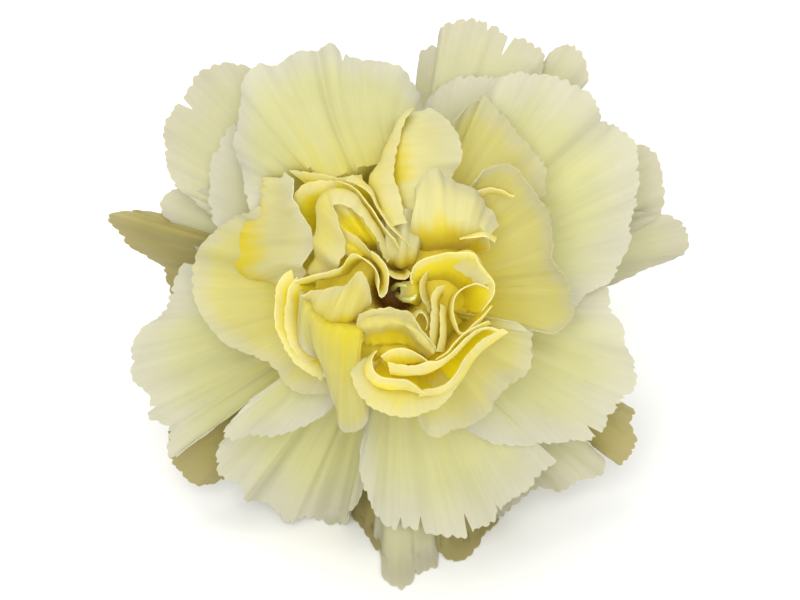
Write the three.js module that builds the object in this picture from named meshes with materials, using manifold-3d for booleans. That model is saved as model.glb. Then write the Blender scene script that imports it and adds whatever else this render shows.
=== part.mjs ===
// A cut carnation: a pale yellow double bloom on its calyx and a short stub of stem.
// It lies on a flat surface, on the cut end of the stem and on the tips of its lowest guard petals,
// with the bloom's face tilted up towards the front. Millimetres, +Z up, the surface at Z = 0.
// The flower is described in its own frame: x and y across the bloom's face, w along its axis,
// with w = 0 at the mouth of the calyx and w growing towards the face.

import * as THREE from "three";
import { mergeVertices } from "three/addons/utils/BufferGeometryUtils.js";
import Module from "manifold-3d";

// Driving dimensions.
const TILT = THREE.MathUtils.degToRad(47);   // lean of the flower's axis from upright
const AXIS_TO_CUT = 50;                      // from the calyx mouth to the cut end, along the axis
const PLACE = new THREE.Vector3(-0.7, -7.91, AXIS_TO_CUT * Math.cos(TILT)); // centres the flower on the origin

const PETAL_THICKNESS = 0.7;
const TOOTH_DEPTH = 0.7;                     // zigzag of a petal's margin
const MARGIN_STEP = 2.6;                     // length of margin per tooth flank
const LONG_MARGIN = 25;                      // a spreading petal's margin above this takes another row
const SHORT_MARGIN = 32;                     // a folded petal's margin below this is a fine one
const FINE_STEP = 2.2;
const CLAW_WIDTH = 2.4;
const CLAW_GATHER = 0.4;                     // a folded petal's width at the claw, of its first row's

const CORE_SIDES = 14;
const CORE_PROFILE = [[0, -5], [5.3, -5], [5.3, 0], [6.2, 2.5], [8.6, 6], [10.4, 9], [11.2, 12],
  [10.6, 14.5], [8.6, 16.4], [5.5, 17.2], [3.4, 17], [2.6, 15.5], [2.1, 12], [1.9, 7], [0, 6.5]];

const CALYX_TOP = -5.4;
const CALYX_FOOT = -29;
const CALYX_RADIUS = 6.7;
const CALYX_RIBS = 10;
const RIB_HEIGHT = 0.22;
const CALYX_TEETH = 5;
const TOOTH_TIP = -0.9;
const TOOTH_WIDTH = 7.6;
const TOOTH_THICKNESS = 0.9;

const BRACTS = 4;
const BRACT_LENGTH = 9.5;
const BRACT_WIDTH = 7.5;

const STEM_RADIUS = 2.3;
const STEM_TOP = CALYX_FOOT - 0.3;
const STEM_SIDES = 12;

const STYLE_RADIUS = 0.45;
const STYLE_FOOT = 7;

const UNDER_AZIMUTHS = [98, 36, -14, 238, 202];
const UNDER_FAN = [-26, -18, -9, 0, 9, 18, 26];
const UNDER_RADIUS = 25.5;
const UNDER_HEIGHT = -3;

// Two styles, from the pit's floor up between the petals' claws; heights are along the axis.
const STYLE_ROUTES = [
  [[0.2, -0.1, STYLE_FOOT], [0.3, -0.3, 12], [0.6, -0.6, 17], [1.4, -1, 20], [2.4, -0.9, 21.2],
    [3, -0.1, 20.6]],
  [[-0.2, 0.1, STYLE_FOOT], [-0.2, 0.4, 12], [0, 0.7, 16.5], [0.5, 1, 18.8], [1.5, 0.8, 19.4],
    [2, 0.3, 18.4]],
];

// The petals, placed by hand. Each has the foot of its claw, points of its margin, anticlockwise, and
// folds as [place along the margin, height, width]. A spreading petal has the height to which it rises
// at the claw, and the angle and the length with which it arrives at its margin. A folded petal has
// rows instead, lines of points across it between the claw and the margin.
const PETALS = [
  // Outer guard petals, bent down below the ring; the lowest ones touch the surface.
  { name: "guard_far_left", claw: [-4.5, 0.8, 2.2], rise: 5, flare: 100, reach: 0.35,
    margin: [[-29, 12, -5], [-31.5, 11, -5.5], [-36, 11.2, -6.5], [-39, 10.6, -7], [-38.8, 9, -8.5],
      [-35.5, 6, -12], [-32.5, 3.6, -14], [-31, 0.5, -15], [-30.5, -3, -15]] },
  { name: "guard_left", claw: [-4.5, 1.5, 2.2], rise: 6, flare: 100, reach: 0.35,
    margin: [[-24.8, 14.5, -1], [-27.5, 13.8, -2], [-29.9, 14.4, -3.5], [-31.8, 12.5, -4.5],
      [-31.4, 10.6, -5], [-29, 7.8, -5], [-27, 5.5, -4.5]] },
  { name: "guard_upper_left", claw: [-3.5, 3.5, 2.2], rise: 6, flare: 100, reach: 0.35,
    margin: [[-14, 30.2, -1], [-19, 30.7, -2], [-23, 31.2, -2.5], [-26.8, 29.9, -3],
      [-29.2, 26.3, -3.5], [-30.6, 24.8, -3.5], [-31.7, 21, -3.5], [-31.1, 17, -3],
      [-29.9, 14.3, -2.5], [-27.3, 12.3, -1.5], [-24.8, 10, -1]] },
  { name: "guard_top", claw: [1.5, 4.8, 2.2], rise: 5, flare: 100, reach: 0.35,
    margin: [[20, 29, -4], [20.3, 32.6, -4.5], [18, 34.4, -5], [15, 35.6, -5.5], [13, 36.7, -5.5],
      [9.5, 37.4, -6], [7, 36.8, -6], [6.2, 33.8, -6.5], [6.6, 31, -6]] },
  { name: "guard_top_fold", claw: [1, 4.8, 2.2], rise: 4, flare: 110, reach: 0.35,
    margin: [[8.5, 32, -8], [6.2, 33.8, -8.5], [4.3, 33.5, -9.5], [3.2, 32.8, -10],
      [4.3, 30.9, -10], [5.3, 28.6, -9.5], [5.5, 25, -8]] },
  { name: "guard_upper_right", claw: [3, 4, 2.2], rise: 5, flare: 100, reach: 0.35,
    margin: [[25, 26.5, -5], [26.4, 29.2, -6], [26, 31.8, -6.5], [24.2, 33.9, -7],
      [21.8, 33.3, -6.5], [20.1, 31, -6], [19, 28, -5]] },
  { name: "guard_right_upper", claw: [4.8, 1.8, 2.2], rise: 5, flare: 100, reach: 0.35,
    folds: [[0.3, -1.2, 0.06]],
    margin: [[33, 8.5, -4.5], [36.4, 10.8, -5.5], [36.9, 13.8, -6], [36.3, 16.6, -6],
      [35, 19.6, -5.5], [33.2, 20.1, -5], [30.5, 19, -4]] },
  { name: "guard_right_lower", claw: [5, 0.5, 2.2], rise: 5, flare: 102, reach: 0.35,
    margin: [[28, 0, -12], [32, 2, -13], [36.5, 3.8, -13], [39.8, 6, -10.5], [40.3, 8, -8.5],
      [38.3, 10.1, -7], [35, 11, -6], [32, 11, -5]] },
  { name: "guard_lower_right_small", claw: [4, -3, 2.2], rise: 4, flare: 104, reach: 0.35,
    margin: [[25.5, -19.5, -10], [28.5, -21.8, -11.5], [31, -23.7, -12.5], [32.2, -22.4, -12],
      [33.1, -20.6, -11.5], [32.4, -18, -10.5], [33, -16.2, -10], [30.6, -14.8, -9],
      [28, -14, -8]] },
  { name: "guard_lower_left", claw: [-4, -3, 2.2], rise: 4, flare: 110, reach: 0.35,
    margin: [[-31, -19, -11], [-31, -22, -12.5], [-30, -24.5, -14], [-27.8, -26, -15.5],
      [-24, -26.1, -17], [-21, -25, -18]] },
  { name: "guard_bottom_under", claw: [-1.5, -4.6, 1.8], rise: 3.5, flare: 112, reach: 0.35,
    margin: [[-8, -28, -18], [-6, -30.5, -18], [-4.3, -33.2, -17], [-2.4, -35.2, -17],
      [0, -36, -17]] },
  { name: "guard_bottom", claw: [0.5, -4.8, 2], rise: 4, flare: 106, reach: 0.35,
    margin: [[-2.2, -31, -15], [-2.9, -34, -14.5], [-2, -37.2, -13], [-0.9, -39.6, -12],
      [0.7, -40.8, -12], [2.1, -39.8, -12], [3.2, -38.7, -12], [5.4, -37.8, -13], [5.6, -35.4, -14],
      [4.4, -33, -15], [4, -30, -15]] },
  { name: "guard_bottom_right_under", claw: [1.5, -4.8, 2.2], rise: 5, flare: 108, reach: 0.35,
    margin: [[4, -32, -12], [5.5, -34.8, -13], [7.2, -36.5, -14], [9, -36.9, -15],
      [10.8, -35.7, -15], [12.6, -33, -17], [14, -31, -18]] },
  { name: "guard_bottom_right", claw: [3, -4, 2.2], rise: 5, flare: 104, reach: 0.35,
    margin: [[12.5, -31, -16], [14.2, -31.1, -17], [16.5, -29.4, -17], [19, -27.2, -15],
      [22.7, -27.2, -14], [24.6, -26.2, -13], [28.2, -25.2, -12], [28.9, -23.4, -11],
      [27, -20.5, -9]] },
  // Large petals that spread into the ring.
  { name: "spread_top", claw: [-1.2, 3.6, 3],
    rows: [[[1.4, 17.5, 10], [-0.4, 16.6, 11.5], [-2, 15.8, 12.4], [-4.4, 15.2, 13],
       [-6.4, 14.4, 13.4], [-8.4, 14, 13.6], [-10.4, 14.4, 13.4], [-12.4, 14.6, 12.8],
       [-14.2, 13.6, 11.8], [-15.6, 11.6, 10.6]],
      [[2.2, 20.8, 11], [-0.2, 19.2, 13.4], [-1.8, 17.9, 15], [-3.6, 16.8, 16], [-5.6, 15.9, 16.7],
       [-7.8, 15.2, 17], [-9.8, 15.7, 16.8], [-12, 16.6, 16.2], [-14.6, 16.9, 15.2],
       [-17.2, 14.8, 13.2]],
      [[3.4, 23, 7.5], [1.4, 24.6, 9], [-2, 24.4, 10.2], [-5.6, 24, 10.8], [-9.2, 24.2, 10.9],
       [-13, 24, 10.6], [-16.6, 23, 10], [-19, 20.4, 9.4], [-19.4, 16, 10.2], [-18.2, 11.8, 11]]],
    folds: [[0.37, -1.4, 0.018], [0.42, 0.8, 0.06]],
    margin: [[4.2, 24, 3], [3.2, 27.2, 3], [1.8, 29.6, 2.5], [-2, 31.4, 2], [-6, 32.3, 2],
      [-9, 33.3, 2], [-12.5, 32.5, 2.5], [-16.5, 30.8, 3], [-19.5, 30.2, 4], [-21, 27, 5],
      [-21.5, 22, 6], [-21, 16.5, 7.5], [-19.8, 12, 9], [-18, 9, 10]] },
  { name: "left_upper", claw: [-3.5, 2.2, 2.5], rise: 9, flare: 98, reach: 0.4,
    margin: [[-22, 23, 0.5], [-24.4, 20, 1], [-25.4, 15, 1.5], [-25.2, 11, 2.5], [-24.4, 8, 3.5],
      [-23.2, 5, 4.5]] },
  { name: "spread_top_right", claw: [1.2, 3.8, 2.5], rise: 9, flare: 98, reach: 0.4,
    margin: [[15.5, 26, 0], [14.8, 29, -0.5], [13, 29.9, -1], [11.5, 29.5, -1], [8, 29.2, -1],
      [5.7, 27.5, -1], [3.9, 25.5, -0.5], [1.5, 23, 0]] },
  { name: "spread_right", claw: [3.4, 1.4, 3], rise: 10, flare: 97, reach: 0.4,
    folds: [[0.6, -1, 0.05], [0.67, 1, 0.05]],
    margin: [[22, -4.5, 4], [26.5, -0.3, 2.5], [28.6, 0.8, 2], [30.5, 3, 1.5], [31.6, 5.5, 1.5],
      [32.5, 9.5, 1.5], [33.2, 13, 1.5], [33.2, 17, 1.5], [32.7, 20.3, 1.5], [30.3, 22.8, 2],
      [28.5, 23.6, 2], [27.3, 25.6, 2.5], [25.6, 27.8, 2.5], [21.5, 29.5, 2.5], [17, 29.9, 3],
      [14.6, 29.4, 3.5], [12.5, 26.5, 4]] },
  { name: "spread_lower_right", claw: [3.2, -2, 2.5], rise: 9, flare: 98, reach: 0.4,
    folds: [[0.6, 0.9, 0.04], [0.7, -0.9, 0.04]],
    margin: [[7.5, -17.5, -0.5], [10.5, -19.4, -1], [13.2, -20.8, -1.5], [16.5, -21.2, -1.5],
      [20, -21, -2], [24, -20.3, -2.5], [27.2, -20.2, -3], [28.9, -18.6, -3], [29.8, -16.5, -3],
      [31.3, -14.4, -2.5], [32.9, -12.8, -2], [32.8, -10, -1.5], [31.6, -7, -1], [31, -4.2, -0.5],
      [29.5, -2, 0], [28.8, 0.8, 0], [27.5, 3, 0]] },
  { name: "spread_bottom", claw: [0.4, -3.6, 2], rise: 8, flare: 100, reach: 0.4,
    folds: [[0.3, -0.8, 0.03], [0.53, 0.6, 0.05]],
    margin: [[-4.2, -19, -2], [-4.9, -24.5, -4], [-4, -27.5, -5], [-2.8, -30.2, -6], [0, -32.6, -7],
      [2.5, -32.4, -7], [4.8, -33.1, -7], [7.5, -33.4, -7], [9.5, -33.6, -7], [12, -32.4, -6.5],
      [14, -31.2, -6], [15.2, -28.9, -5.5], [17.2, -27.8, -5], [20, -25.3, -4], [22, -22.8, -3]] },
  { name: "spread_bottom_left", claw: [-1.5, -3.4, 2], rise: 8, flare: 104, reach: 0.4,
    folds: [[0.28, 0.7, 0.03], [0.36, -0.7, 0.03], [0.48, 0.8, 0.03], [0.6, -0.8, 0.04], [0.72, 0.6, 0.04]],
    margin: [[-22.5, -19, -5], [-24.3, -21.5, -6], [-24.2, -25, -8], [-21.6, -26.2, -10],
      [-20.6, -28.3, -12], [-17.8, -29.3, -13.5], [-14.8, -31.3, -15.5], [-12, -31, -15.5],
      [-9.2, -32.1, -16], [-6.2, -31.4, -14], [-4.8, -28, -9], [-4.2, -21, -4]] },
  { name: "flap_lower_left", claw: [-2.5, -2.8, 3], rise: 12, flare: 112, reach: 0.42,
    margin: [[-19.5, -14.5, 6.5], [-22.2, -17.4, 5], [-23.6, -19.6, 3.5], [-22.3, -20.3, 3],
      [-19.5, -19.7, 3], [-16.5, -19.6, 3.5], [-14, -18.9, 4], [-11.5, -18, 4.5], [-8.7, -16, 6],
      [-7, -13, 8]] },
  { name: "spread_left", claw: [-3.6, -1.4, 2.5], rise: 9, flare: 100, reach: 0.4,
    folds: [[0.3, 0.5, 0.04], [0.55, -0.6, 0.04]],
    margin: [[-29, 4, -1], [-30.8, 0, -2], [-31.6, -2.6, -2.5], [-34.6, -5, -3.5],
      [-36.2, -9, -4.5], [-35.6, -12.6, -5.5], [-33.4, -14.6, -6], [-33.7, -17.3, -7],
      [-31, -18.6, -7.5], [-31.4, -20.8, -8], [-30.6, -22.6, -8.5], [-26, -19.5, -6.5]] },
  // Petals of the middle, cupped round the heart.
  { name: "wing_left", claw: [-3.2, 0.2, 4], rise: 12, flare: 92, reach: 0.35,
    folds: [[0.12, -0.8, 0.04], [0.3, -0.8, 0.03]],
    margin: [[-17.5, 11.5, 11.5], [-21, 9.7, 9.5], [-24.2, 8.5, 7.5], [-26, 6.8, 6.5],
      [-27.5, 3.5, 6], [-27.5, 0, 6.5], [-26.3, -3, 7], [-24.3, -5.8, 7.5], [-22.8, -7.3, 7.5],
      [-19.5, -8.7, 8.5], [-16.8, -10, 9.5], [-14.6, -12.9, 9.5], [-11.5, -14, 10],
      [-8.8, -13.8, 11], [-7, -12, 12]] },
  { name: "petal_top_grey", claw: [2, 3, 4], rise: 12, flare: 80, reach: 0.4,
    folds: [[0.7, 0.8, 0.05]],
    margin: [[20.5, 13, 11], [20.4, 17, 9.5], [18, 20.3, 8.5], [16, 22.6, 8], [14, 25, 7],
      [12, 27, 6], [10, 25.5, 7], [8, 23, 9]] },
  { name: "cup_right", claw: [3, 0.5, 4], rise: 12, flare: 42, reach: 0.45,
    margin: [[17, -5, 12], [20.3, -5.5, 11], [22.7, -5.1, 10], [24.3, -3, 9.5], [24, -0.8, 10],
      [23, 1.5, 11], [21.7, 4.8, 12.5], [21.1, 8.5, 14], [20, 12, 15.5], [18.4, 14.6, 16.8],
      [16.7, 16.3, 17.4], [14.6, 16.9, 17.8], [12.4, 16.3, 18.2], [10.4, 15.2, 18.6]] },
  { name: "petal_lower_right", claw: [2.6, -2.5, 4], rise: 14, flare: 105, reach: 0.4,
    margin: [[3.2, -17.5, 9.5], [4.8, -19.7, 8.5], [7.5, -19.1, 8.5], [9.8, -18.5, 8.5],
      [12.2, -16.7, 9], [14.2, -14.3, 10], [16.4, -12.3, 11], [18.2, -10.3, 12], [18.7, -7.6, 13],
      [18.5, -5, 14], [16, -3.8, 16]] },
  // Broad smooth petals that arch over the heart or fold outwards.
  { name: "petal_outfold", claw: [-5, -3.6, 9],
    rows: [[[-12.7, 0.3, 20.4], [-11.9, -1.4, 20.8], [-10.8, -3.1, 21.1], [-9.6, -4.4, 21.3],
       [-7.8, -4.8, 21.7], [-6, -5, 21.9], [-4.8, -5.3, 21.9], [-4.3, -6.4, 21.4]],
      [[-13, -1.6, 20], [-12.6, -4.2, 19.6], [-11.3, -6.6, 19.4], [-9.6, -8.4, 19],
       [-7.8, -10.4, 18.2], [-6.6, -11.4, 17.4], [-5.6, -10.8, 17.8], [-4.6, -9, 19]]],
    margin: [[-13.2, -3.4, 19.3], [-13, -6.3, 18.4], [-12.2, -7.9, 17.9], [-10.6, -9.3, 17.4],
      [-9.1, -11, 16.3], [-8.6, -13.5, 13.8], [-8.1, -16, 11.2], [-7.9, -18, 9.4],
      [-6.6, -19.4, 8.4], [-5, -18.8, 8.6], [-3.6, -17.2, 9.6], [-3, -15.5, 11]] },
  { name: "ridge_left", claw: [-6.2, 3, 9],
    rows: [[[-17, 1.2, 8.6], [-19, 2.4, 9.2], [-20.2, 4.6, 9.6], [-19.6, 7, 10], [-18.4, 9.2, 10.6],
       [-17.2, 11.2, 11.4], [-17, 13.6, 12.2], [-17.4, 15.6, 12.6]],
      [[-14.2, 1.4, 14.2], [-15.6, 2.6, 15.4], [-16.2, 4.8, 16.2], [-15.8, 7, 16.8],
       [-15.2, 9.2, 17.4], [-15, 11.2, 17.6], [-15.2, 13.2, 17.4], [-15.9, 15.4, 16.6]]],
    margin: [[-12.8, 1.8, 16.4], [-11.6, 3.8, 18.9], [-11.2, 6, 20.1], [-11.4, 7.6, 20.5],
      [-12, 9.2, 20.5], [-12.6, 11, 20.3], [-13.2, 13, 19.8], [-13.9, 14.8, 19],
      [-15.2, 16.4, 17.4]] },
  { name: "smooth_right", claw: [5, 5.2, 10],
    rows: [[[2.6, 7, 19.5], [4.2, 6.2, 19.8], [6, 6.5, 19.6], [8, 6.7, 19.4], [10, 7, 19],
       [11.6, 6.8, 18.6], [12.8, 5.6, 18]],
      [[2.2, 9.2, 23], [4, 9.2, 23.8], [6, 9.2, 23.8], [8, 9.4, 23.4], [10, 9.6, 22.8],
       [11.8, 9, 22], [13, 7, 20.8]],
      [[2.9, 12.4, 22.2], [4.1, 14.4, 21.2], [5.8, 13.8, 21.6], [8, 12.8, 21.6], [10.2, 12, 21.2],
       [12.2, 11, 20.4], [13.8, 8.6, 19]]],
    margin: [[2.8, 14, 19], [4.2, 17.2, 17.4], [6.8, 16, 17.2], [9.2, 14.4, 17.4],
      [11.4, 13.4, 17.2], [13.2, 12.2, 16.8], [14.8, 9.4, 16]] },
  { name: "hole_cup", claw: [0.8, 4.6, 11],
    rows: [[[-1.5, 4.6, 17.5], [-0.7, 3.9, 17.8], [0.3, 3.5, 18], [1.4, 3.5, 18], [2.2, 4, 18],
       [2.8, 5, 17.8]],
      [[-2.1, 6.2, 21.6], [-0.9, 5.7, 23], [0.4, 5.5, 23.6], [1.6, 5.7, 23.4], [2.6, 6, 22.6],
       [3.3, 6.8, 21.4]]],
    margin: [[-2.3, 8, 22.4], [-1.3, 9, 23.6], [0.2, 9.6, 24], [1.5, 9.6, 23.8], [2.6, 8.8, 23.2],
      [3.5, 7.8, 21.8]] },
  { name: "fan_left", claw: [-5.5, -1, 11],
    rows: [[[-12.1, -1, 19.4], [-11.2, -2.6, 19.2], [-10.2, -3.9, 19.2], [-8.4, -4.3, 19.6],
       [-6.8, -4.2, 19.8], [-5.4, -3.5, 20], [-4.4, -2.7, 20], [-3.7, -2, 20]]],
    margin: [[-12.5, 0.1, 21], [-10.5, 0.4, 21.6], [-8.5, 0.6, 22.2], [-6.8, 1, 22.7],
      [-5.8, 2, 23.3], [-5.1, 2.8, 23.6], [-4.4, 3, 23.6], [-3.8, 2.3, 23.4], [-3.4, 0.9, 23],
      [-3.15, -0.3, 22.5], [-3, -1.4, 22]] },
  // Heart petals, crowded and folded into ribbons, scrolls and pockets.
  { name: "fold_top", claw: [3, 6.2, 9],
    rows: [[[1.5, 9.8, 19], [0.9, 12, 18.2], [0.6, 15, 17.2], [0.5, 17.8, 16], [0.9, 20.4, 14.4],
       [2.2, 23, 12.6], [3.6, 25, 11]],
      [[3, 11, 21.4], [3.2, 13.6, 20.8], [3.6, 16, 20], [3.4, 18.5, 18.8], [3.1, 21, 17],
       [3.7, 23.4, 15.2], [5, 25.2, 13]]],
    margin: [[5.4, 12.4, 19.4], [7.2, 14.2, 18], [8.4, 16.4, 16.6], [8.9, 18.8, 15],
      [8.8, 21, 13.4], [7.9, 23.2, 12], [6.2, 25.4, 11]] },
  { name: "band_top", claw: [-5.4, 5.6, 9],
    rows: [[[-8.4, 12.8, 17], [-9.8, 13, 16.7], [-11.2, 13, 16.4], [-12.5, 12.8, 16.2]]],
    margin: [[-7, 14.6, 19.6], [-8.4, 14.5, 20], [-9.8, 14.6, 20], [-11.2, 14.4, 19.8],
      [-12.4, 14, 19.4], [-13.4, 13.6, 18.8]] },
  { name: "arch", claw: [-5.5, 5, 10],
    rows: [[[-12.6, 3, 17], [-11.4, 5.5, 17], [-11.1, 7.5, 17], [-10.5, 10.5, 18], [-9.8, 13, 19.5],
       [-7.3, 13.8, 20], [-5.2, 12.9, 20.4], [-3.9, 11.4, 20.6], [-2.9, 9.8, 20.8], [-1.9, 8, 21]]],
    margin: [[-10.4, 1.2, 18.6], [-8.6, 2.4, 20.6], [-7.3, 3.8, 22.3], [-6.8, 5.6, 23.2],
      [-7.1, 7.8, 24.2], [-7.9, 10, 25], [-8.4, 11.5, 25.3], [-6.8, 11.8, 25.3], [-5.2, 11, 25],
      [-4.1, 9.8, 24.6], [-3.2, 8.3, 24.2], [-2.3, 6.6, 23.4]] },
  { name: "arch_step_1", claw: [-5, 4.5, 11],
    rows: [[[-2.6, 5.9, 19.6], [-3.8, 6.6, 19.4], [-5, 7.8, 19.2], [-6.1, 9, 19.2],
       [-7.2, 9.8, 19.4]]],
    margin: [[-2.3, 6.1, 22.3], [-3.3, 6.7, 22.6], [-4.1, 7.5, 22.8], [-5, 8.6, 23],
      [-6.1, 9.8, 23.2], [-7.6, 10.6, 23.4]] },
  { name: "ribbon_left", claw: [-4, 3, 11],
    rows: [[[-13, 1.1, 17], [-11, 1.7, 17.6], [-9, 1.9, 18], [-7.4, 2.5, 18.4], [-6.2, 3.8, 18.5],
       [-4.9, 4.6, 18.5], [-3.9, 4.3, 18.5], [-3, 3.5, 18.5], [-2.5, 2.5, 18.5], [-2.4, 1.4, 18.5],
       [-2.3, 0.6, 18.5], [-1.9, 0.3, 18.5], [-1.5, 0.8, 18.5], [-1.4, 1.8, 18.5],
       [-1.6, 2.8, 18.5], [-2.2, 3.8, 18.6], [-3, 4.6, 18.8]]],
    margin: [[-13.6, 1.9, 20.6], [-11.4, 2.5, 21.6], [-9, 2.7, 22.4], [-7.2, 3.4, 23],
      [-6.5, 4.7, 23.4], [-5.8, 5.4, 23.8], [-4.9, 5.4, 24.2], [-3.9, 4.8, 24.5], [-2.9, 3.8, 24.5],
      [-2.25, 2.6, 24.3], [-2.05, 1.2, 24], [-2.1, 0.1, 23.6], [-1.75, -0.75, 23.2],
      [-1.25, -0.3, 23.4], [-0.95, 1, 24], [-1, 2.2, 24.4], [-1.5, 3.4, 24.6], [-2.4, 4.6, 24.5],
      [-3.3, 5.4, 24.2]] },
  { name: "rim_left_outer", claw: [-6, -2.5, 9],
    rows: [[[-13.2, 1, 15.5], [-14.4, 0, 15], [-14.9, -2, 15], [-14.6, -4.6, 15], [-13.6, -6.8, 15],
       [-12.3, -8.4, 15], [-11, -9.3, 15]]],
    margin: [[-13.6, 2.7, 19.4], [-14.9, 1.4, 19.3], [-15.7, -0.8, 19], [-15.9, -3.2, 18.7],
      [-15.4, -5.6, 18.4], [-14.4, -7.6, 18], [-13.2, -9.2, 17.6], [-11.9, -10.2, 17.2]] },
  { name: "rim_left", claw: [-6, -2.5, 10],
    rows: [[[-12.6, 0.6, 16.5], [-13.3, -0.6, 16.2], [-13.4, -2.4, 16], [-13.2, -4.4, 16],
       [-12.9, -6, 16], [-12.3, -7.4, 16]]],
    margin: [[-12.9, 1.7, 20.6], [-14, 0.6, 20.4], [-14.4, -1.6, 20], [-14.3, -4, 19.6],
      [-14, -6, 19.2], [-13.6, -7.8, 18.7], [-13, -9, 18.2]] },
  { name: "fold_top_left", claw: [-2.4, 6, 10],
    rows: [[[-0.6, 8.6, 21.4], [-1.2, 9.6, 21.2], [-2, 11, 21], [-2.7, 12.4, 20.8],
       [-3.5, 13.7, 20.2], [-4.4, 14.7, 19.5], [-5.6, 15.6, 18.5]]],
    margin: [[-1.4, 8, 23], [-2, 9.4, 23.2], [-2.7, 10.8, 23.2], [-3.4, 12, 23.2], [-4.2, 12.9, 23],
      [-5.2, 13.7, 22.5], [-6.6, 14.6, 21.5]] },
  { name: "fold_top_right", claw: [-1, 6.4, 9.5],
    rows: [[[-0.4, 8.7, 21.6], [-1.6, 11, 20.8], [-2.6, 13.2, 19.6], [-3.2, 15.4, 18],
       [-2.2, 17.2, 16.6], [-1.4, 19.6, 15], [0.2, 22.6, 13.8], [1.8, 24.6, 13.5]]],
    margin: [[1.8, 9.3, 23.2], [1.1, 11, 23.2], [0.5, 13, 22.8], [0.15, 15, 22], [0, 17.5, 20.8],
      [0.2, 20, 19.2], [1, 22.6, 17.2], [2.6, 24.8, 15.2]] },
  { name: "ribbon_right", claw: [6, 0.4, 10],
    rows: [[[3.4, 1.3, 17.5], [3.8, 1.7, 17.6], [4.4, 2, 17.8], [5.4, 2.3, 18], [6.6, 2.4, 18],
       [7.8, 2.2, 18.2], [9, 1.6, 18.4], [9.8, 1, 18.4], [10.3, 0.4, 18.4], [10.8, -0.2, 18.4],
       [11, -1, 18.2], [10.8, -1.8, 18], [10.4, -2.6, 17.8]]],
    margin: [[1.7, 1.1, 22.8], [1.5, 2, 23.3], [1.8, 3, 23.8], [2.6, 4.1, 24.1], [3.8, 4.8, 24.3],
      [5.5, 5.3, 24.2], [8, 5.8, 23.9], [10, 5.9, 23.5], [11.1, 5.4, 23.1], [11.6, 4.2, 22.8],
      [12.4, 2.9, 22.4], [13.4, 1.6, 22], [13.7, 0, 21.6], [13.3, -1.4, 21.1],
      [12.4, -2.8, 20.4]] },
  { name: "loop_right", claw: [7.6, -2, 10],
    rows: [[[12.2, 0.5, 17.6], [10.8, 0.9, 17.8], [9.2, 0.6, 18], [8, -0.6, 18], [7.6, -2.4, 18],
       [7.8, -4.2, 18], [8.8, -5.8, 18], [10.4, -5, 17.6], [11.8, -3.4, 17.6], [12.8, -1.8, 17.6]]],
    margin: [[12.3, -0.1, 21.6], [11, 0.4, 21.8], [9.6, 0, 22], [8.7, -0.9, 22.1], [8.3, -2.4, 22],
      [8.4, -3.8, 21.8], [9, -5.2, 21.4], [10, -4.2, 21.2], [11.4, -2.7, 21], [12.4, -1.4, 21]] },
  { name: "edge_1", claw: [5.8, -2.6, 10],
    rows: [[[6.6, 0, 18], [6, -0.4, 18], [5.7, -1.2, 18], [5.8, -2.6, 18], [5.8, -4.4, 18],
       [5.7, -6, 18], [5.4, -7.4, 18]]],
    margin: [[6.9, 0.6, 21.4], [5.9, 0.4, 22], [5.35, -0.6, 22], [5.5, -2, 21.9], [5.5, -4, 21.7],
      [5.4, -6, 21.5], [5.2, -7.6, 21.2]] },
  { name: "edge_2", claw: [6.6, -4, 10],
    rows: [[[6.8, -2, 18], [6.8, -3.4, 18], [6.9, -5, 18], [6.9, -6.4, 18], [6.6, -8, 18]]],
    margin: [[6.4, -1.6, 21.4], [6.3, -3, 21.6], [6.5, -4.8, 21.6], [6.6, -6.4, 21.4],
      [6.2, -8.2, 21]] },
  { name: "lip", claw: [0.5, -5, 10],
    rows: [[[-3.4, -7, 16.5], [-1.5, -6.6, 16], [0.5, -6.8, 16], [2.1, -7.2, 16.5], [3.5, -8, 17.5],
       [4.4, -8.9, 18]],
      [[-5.2, -5.4, 20.6], [-3.8, -4.6, 21.4], [-2, -4.3, 21.8], [0, -4.3, 21.8], [1.6, -4.9, 21.6],
       [3, -5.8, 21.4], [4.1, -7, 21], [5.2, -8.5, 20.4]],
      [[-5.2, -4.4, 21.9], [-3.8, -3.6, 22.5], [-2, -3.2, 22.8], [0, -3.2, 22.8], [1.6, -3.8, 22.6],
       [3, -4.8, 22.3], [4.2, -6.2, 22], [5.4, -7.8, 21.4]]],
    margin: [[-4.6, -2.8, 21.2], [-3, -2, 21.4], [-1.2, -1.9, 21.4], [0.2, -2.4, 21.2],
      [1.6, -3, 21.1], [3, -4, 20.9], [4.4, -5.4, 20.6], [5.6, -7.2, 20]] },
  { name: "scroll", claw: [1.5, -6.5, 9.5],
    rows: [[[-2.6, -8, 17.5], [-3.9, -9.4, 17.2], [-4, -11, 17], [-2.8, -12.4, 16.8],
       [-0.8, -13, 16.8], [1.4, -13, 16.8], [3.2, -13.5, 17]]],
    margin: [[-1.9, -8.4, 20.6], [-2.6, -9.2, 20.6], [-2.6, -10.3, 20.4], [-1.8, -11.1, 20.2],
      [-0.2, -11.4, 20], [1.6, -11.5, 19.9], [3, -12.2, 19.7], [4.3, -13.2, 19.3]] },
  { name: "ribbon_low_1", claw: [4, -6, 10],
    rows: [[[-0.6, -11, 18], [1, -11.2, 18], [2.8, -11.1, 18.2], [4.6, -10.8, 18.4],
       [6.2, -10, 18.6], [7.4, -8.9, 18.8], [8.8, -7.5, 18.8], [10.2, -6.1, 18.6], [11.8, -5, 18.4],
       [13.5, -5, 18.4]]],
    margin: [[-0.9, -9.2, 20.6], [0.8, -9.5, 20.9], [2.8, -9.5, 21.1], [4.4, -9, 21.4],
      [5.8, -8.8, 21.6], [6.9, -8.1, 21.6], [8, -7, 21.6], [9.4, -5.8, 21.4], [11, -4.8, 21],
      [12.5, -4.3, 20.6], [14, -4.6, 20]] },
  { name: "ribbon_low_2", claw: [5, -5.8, 9],
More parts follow.
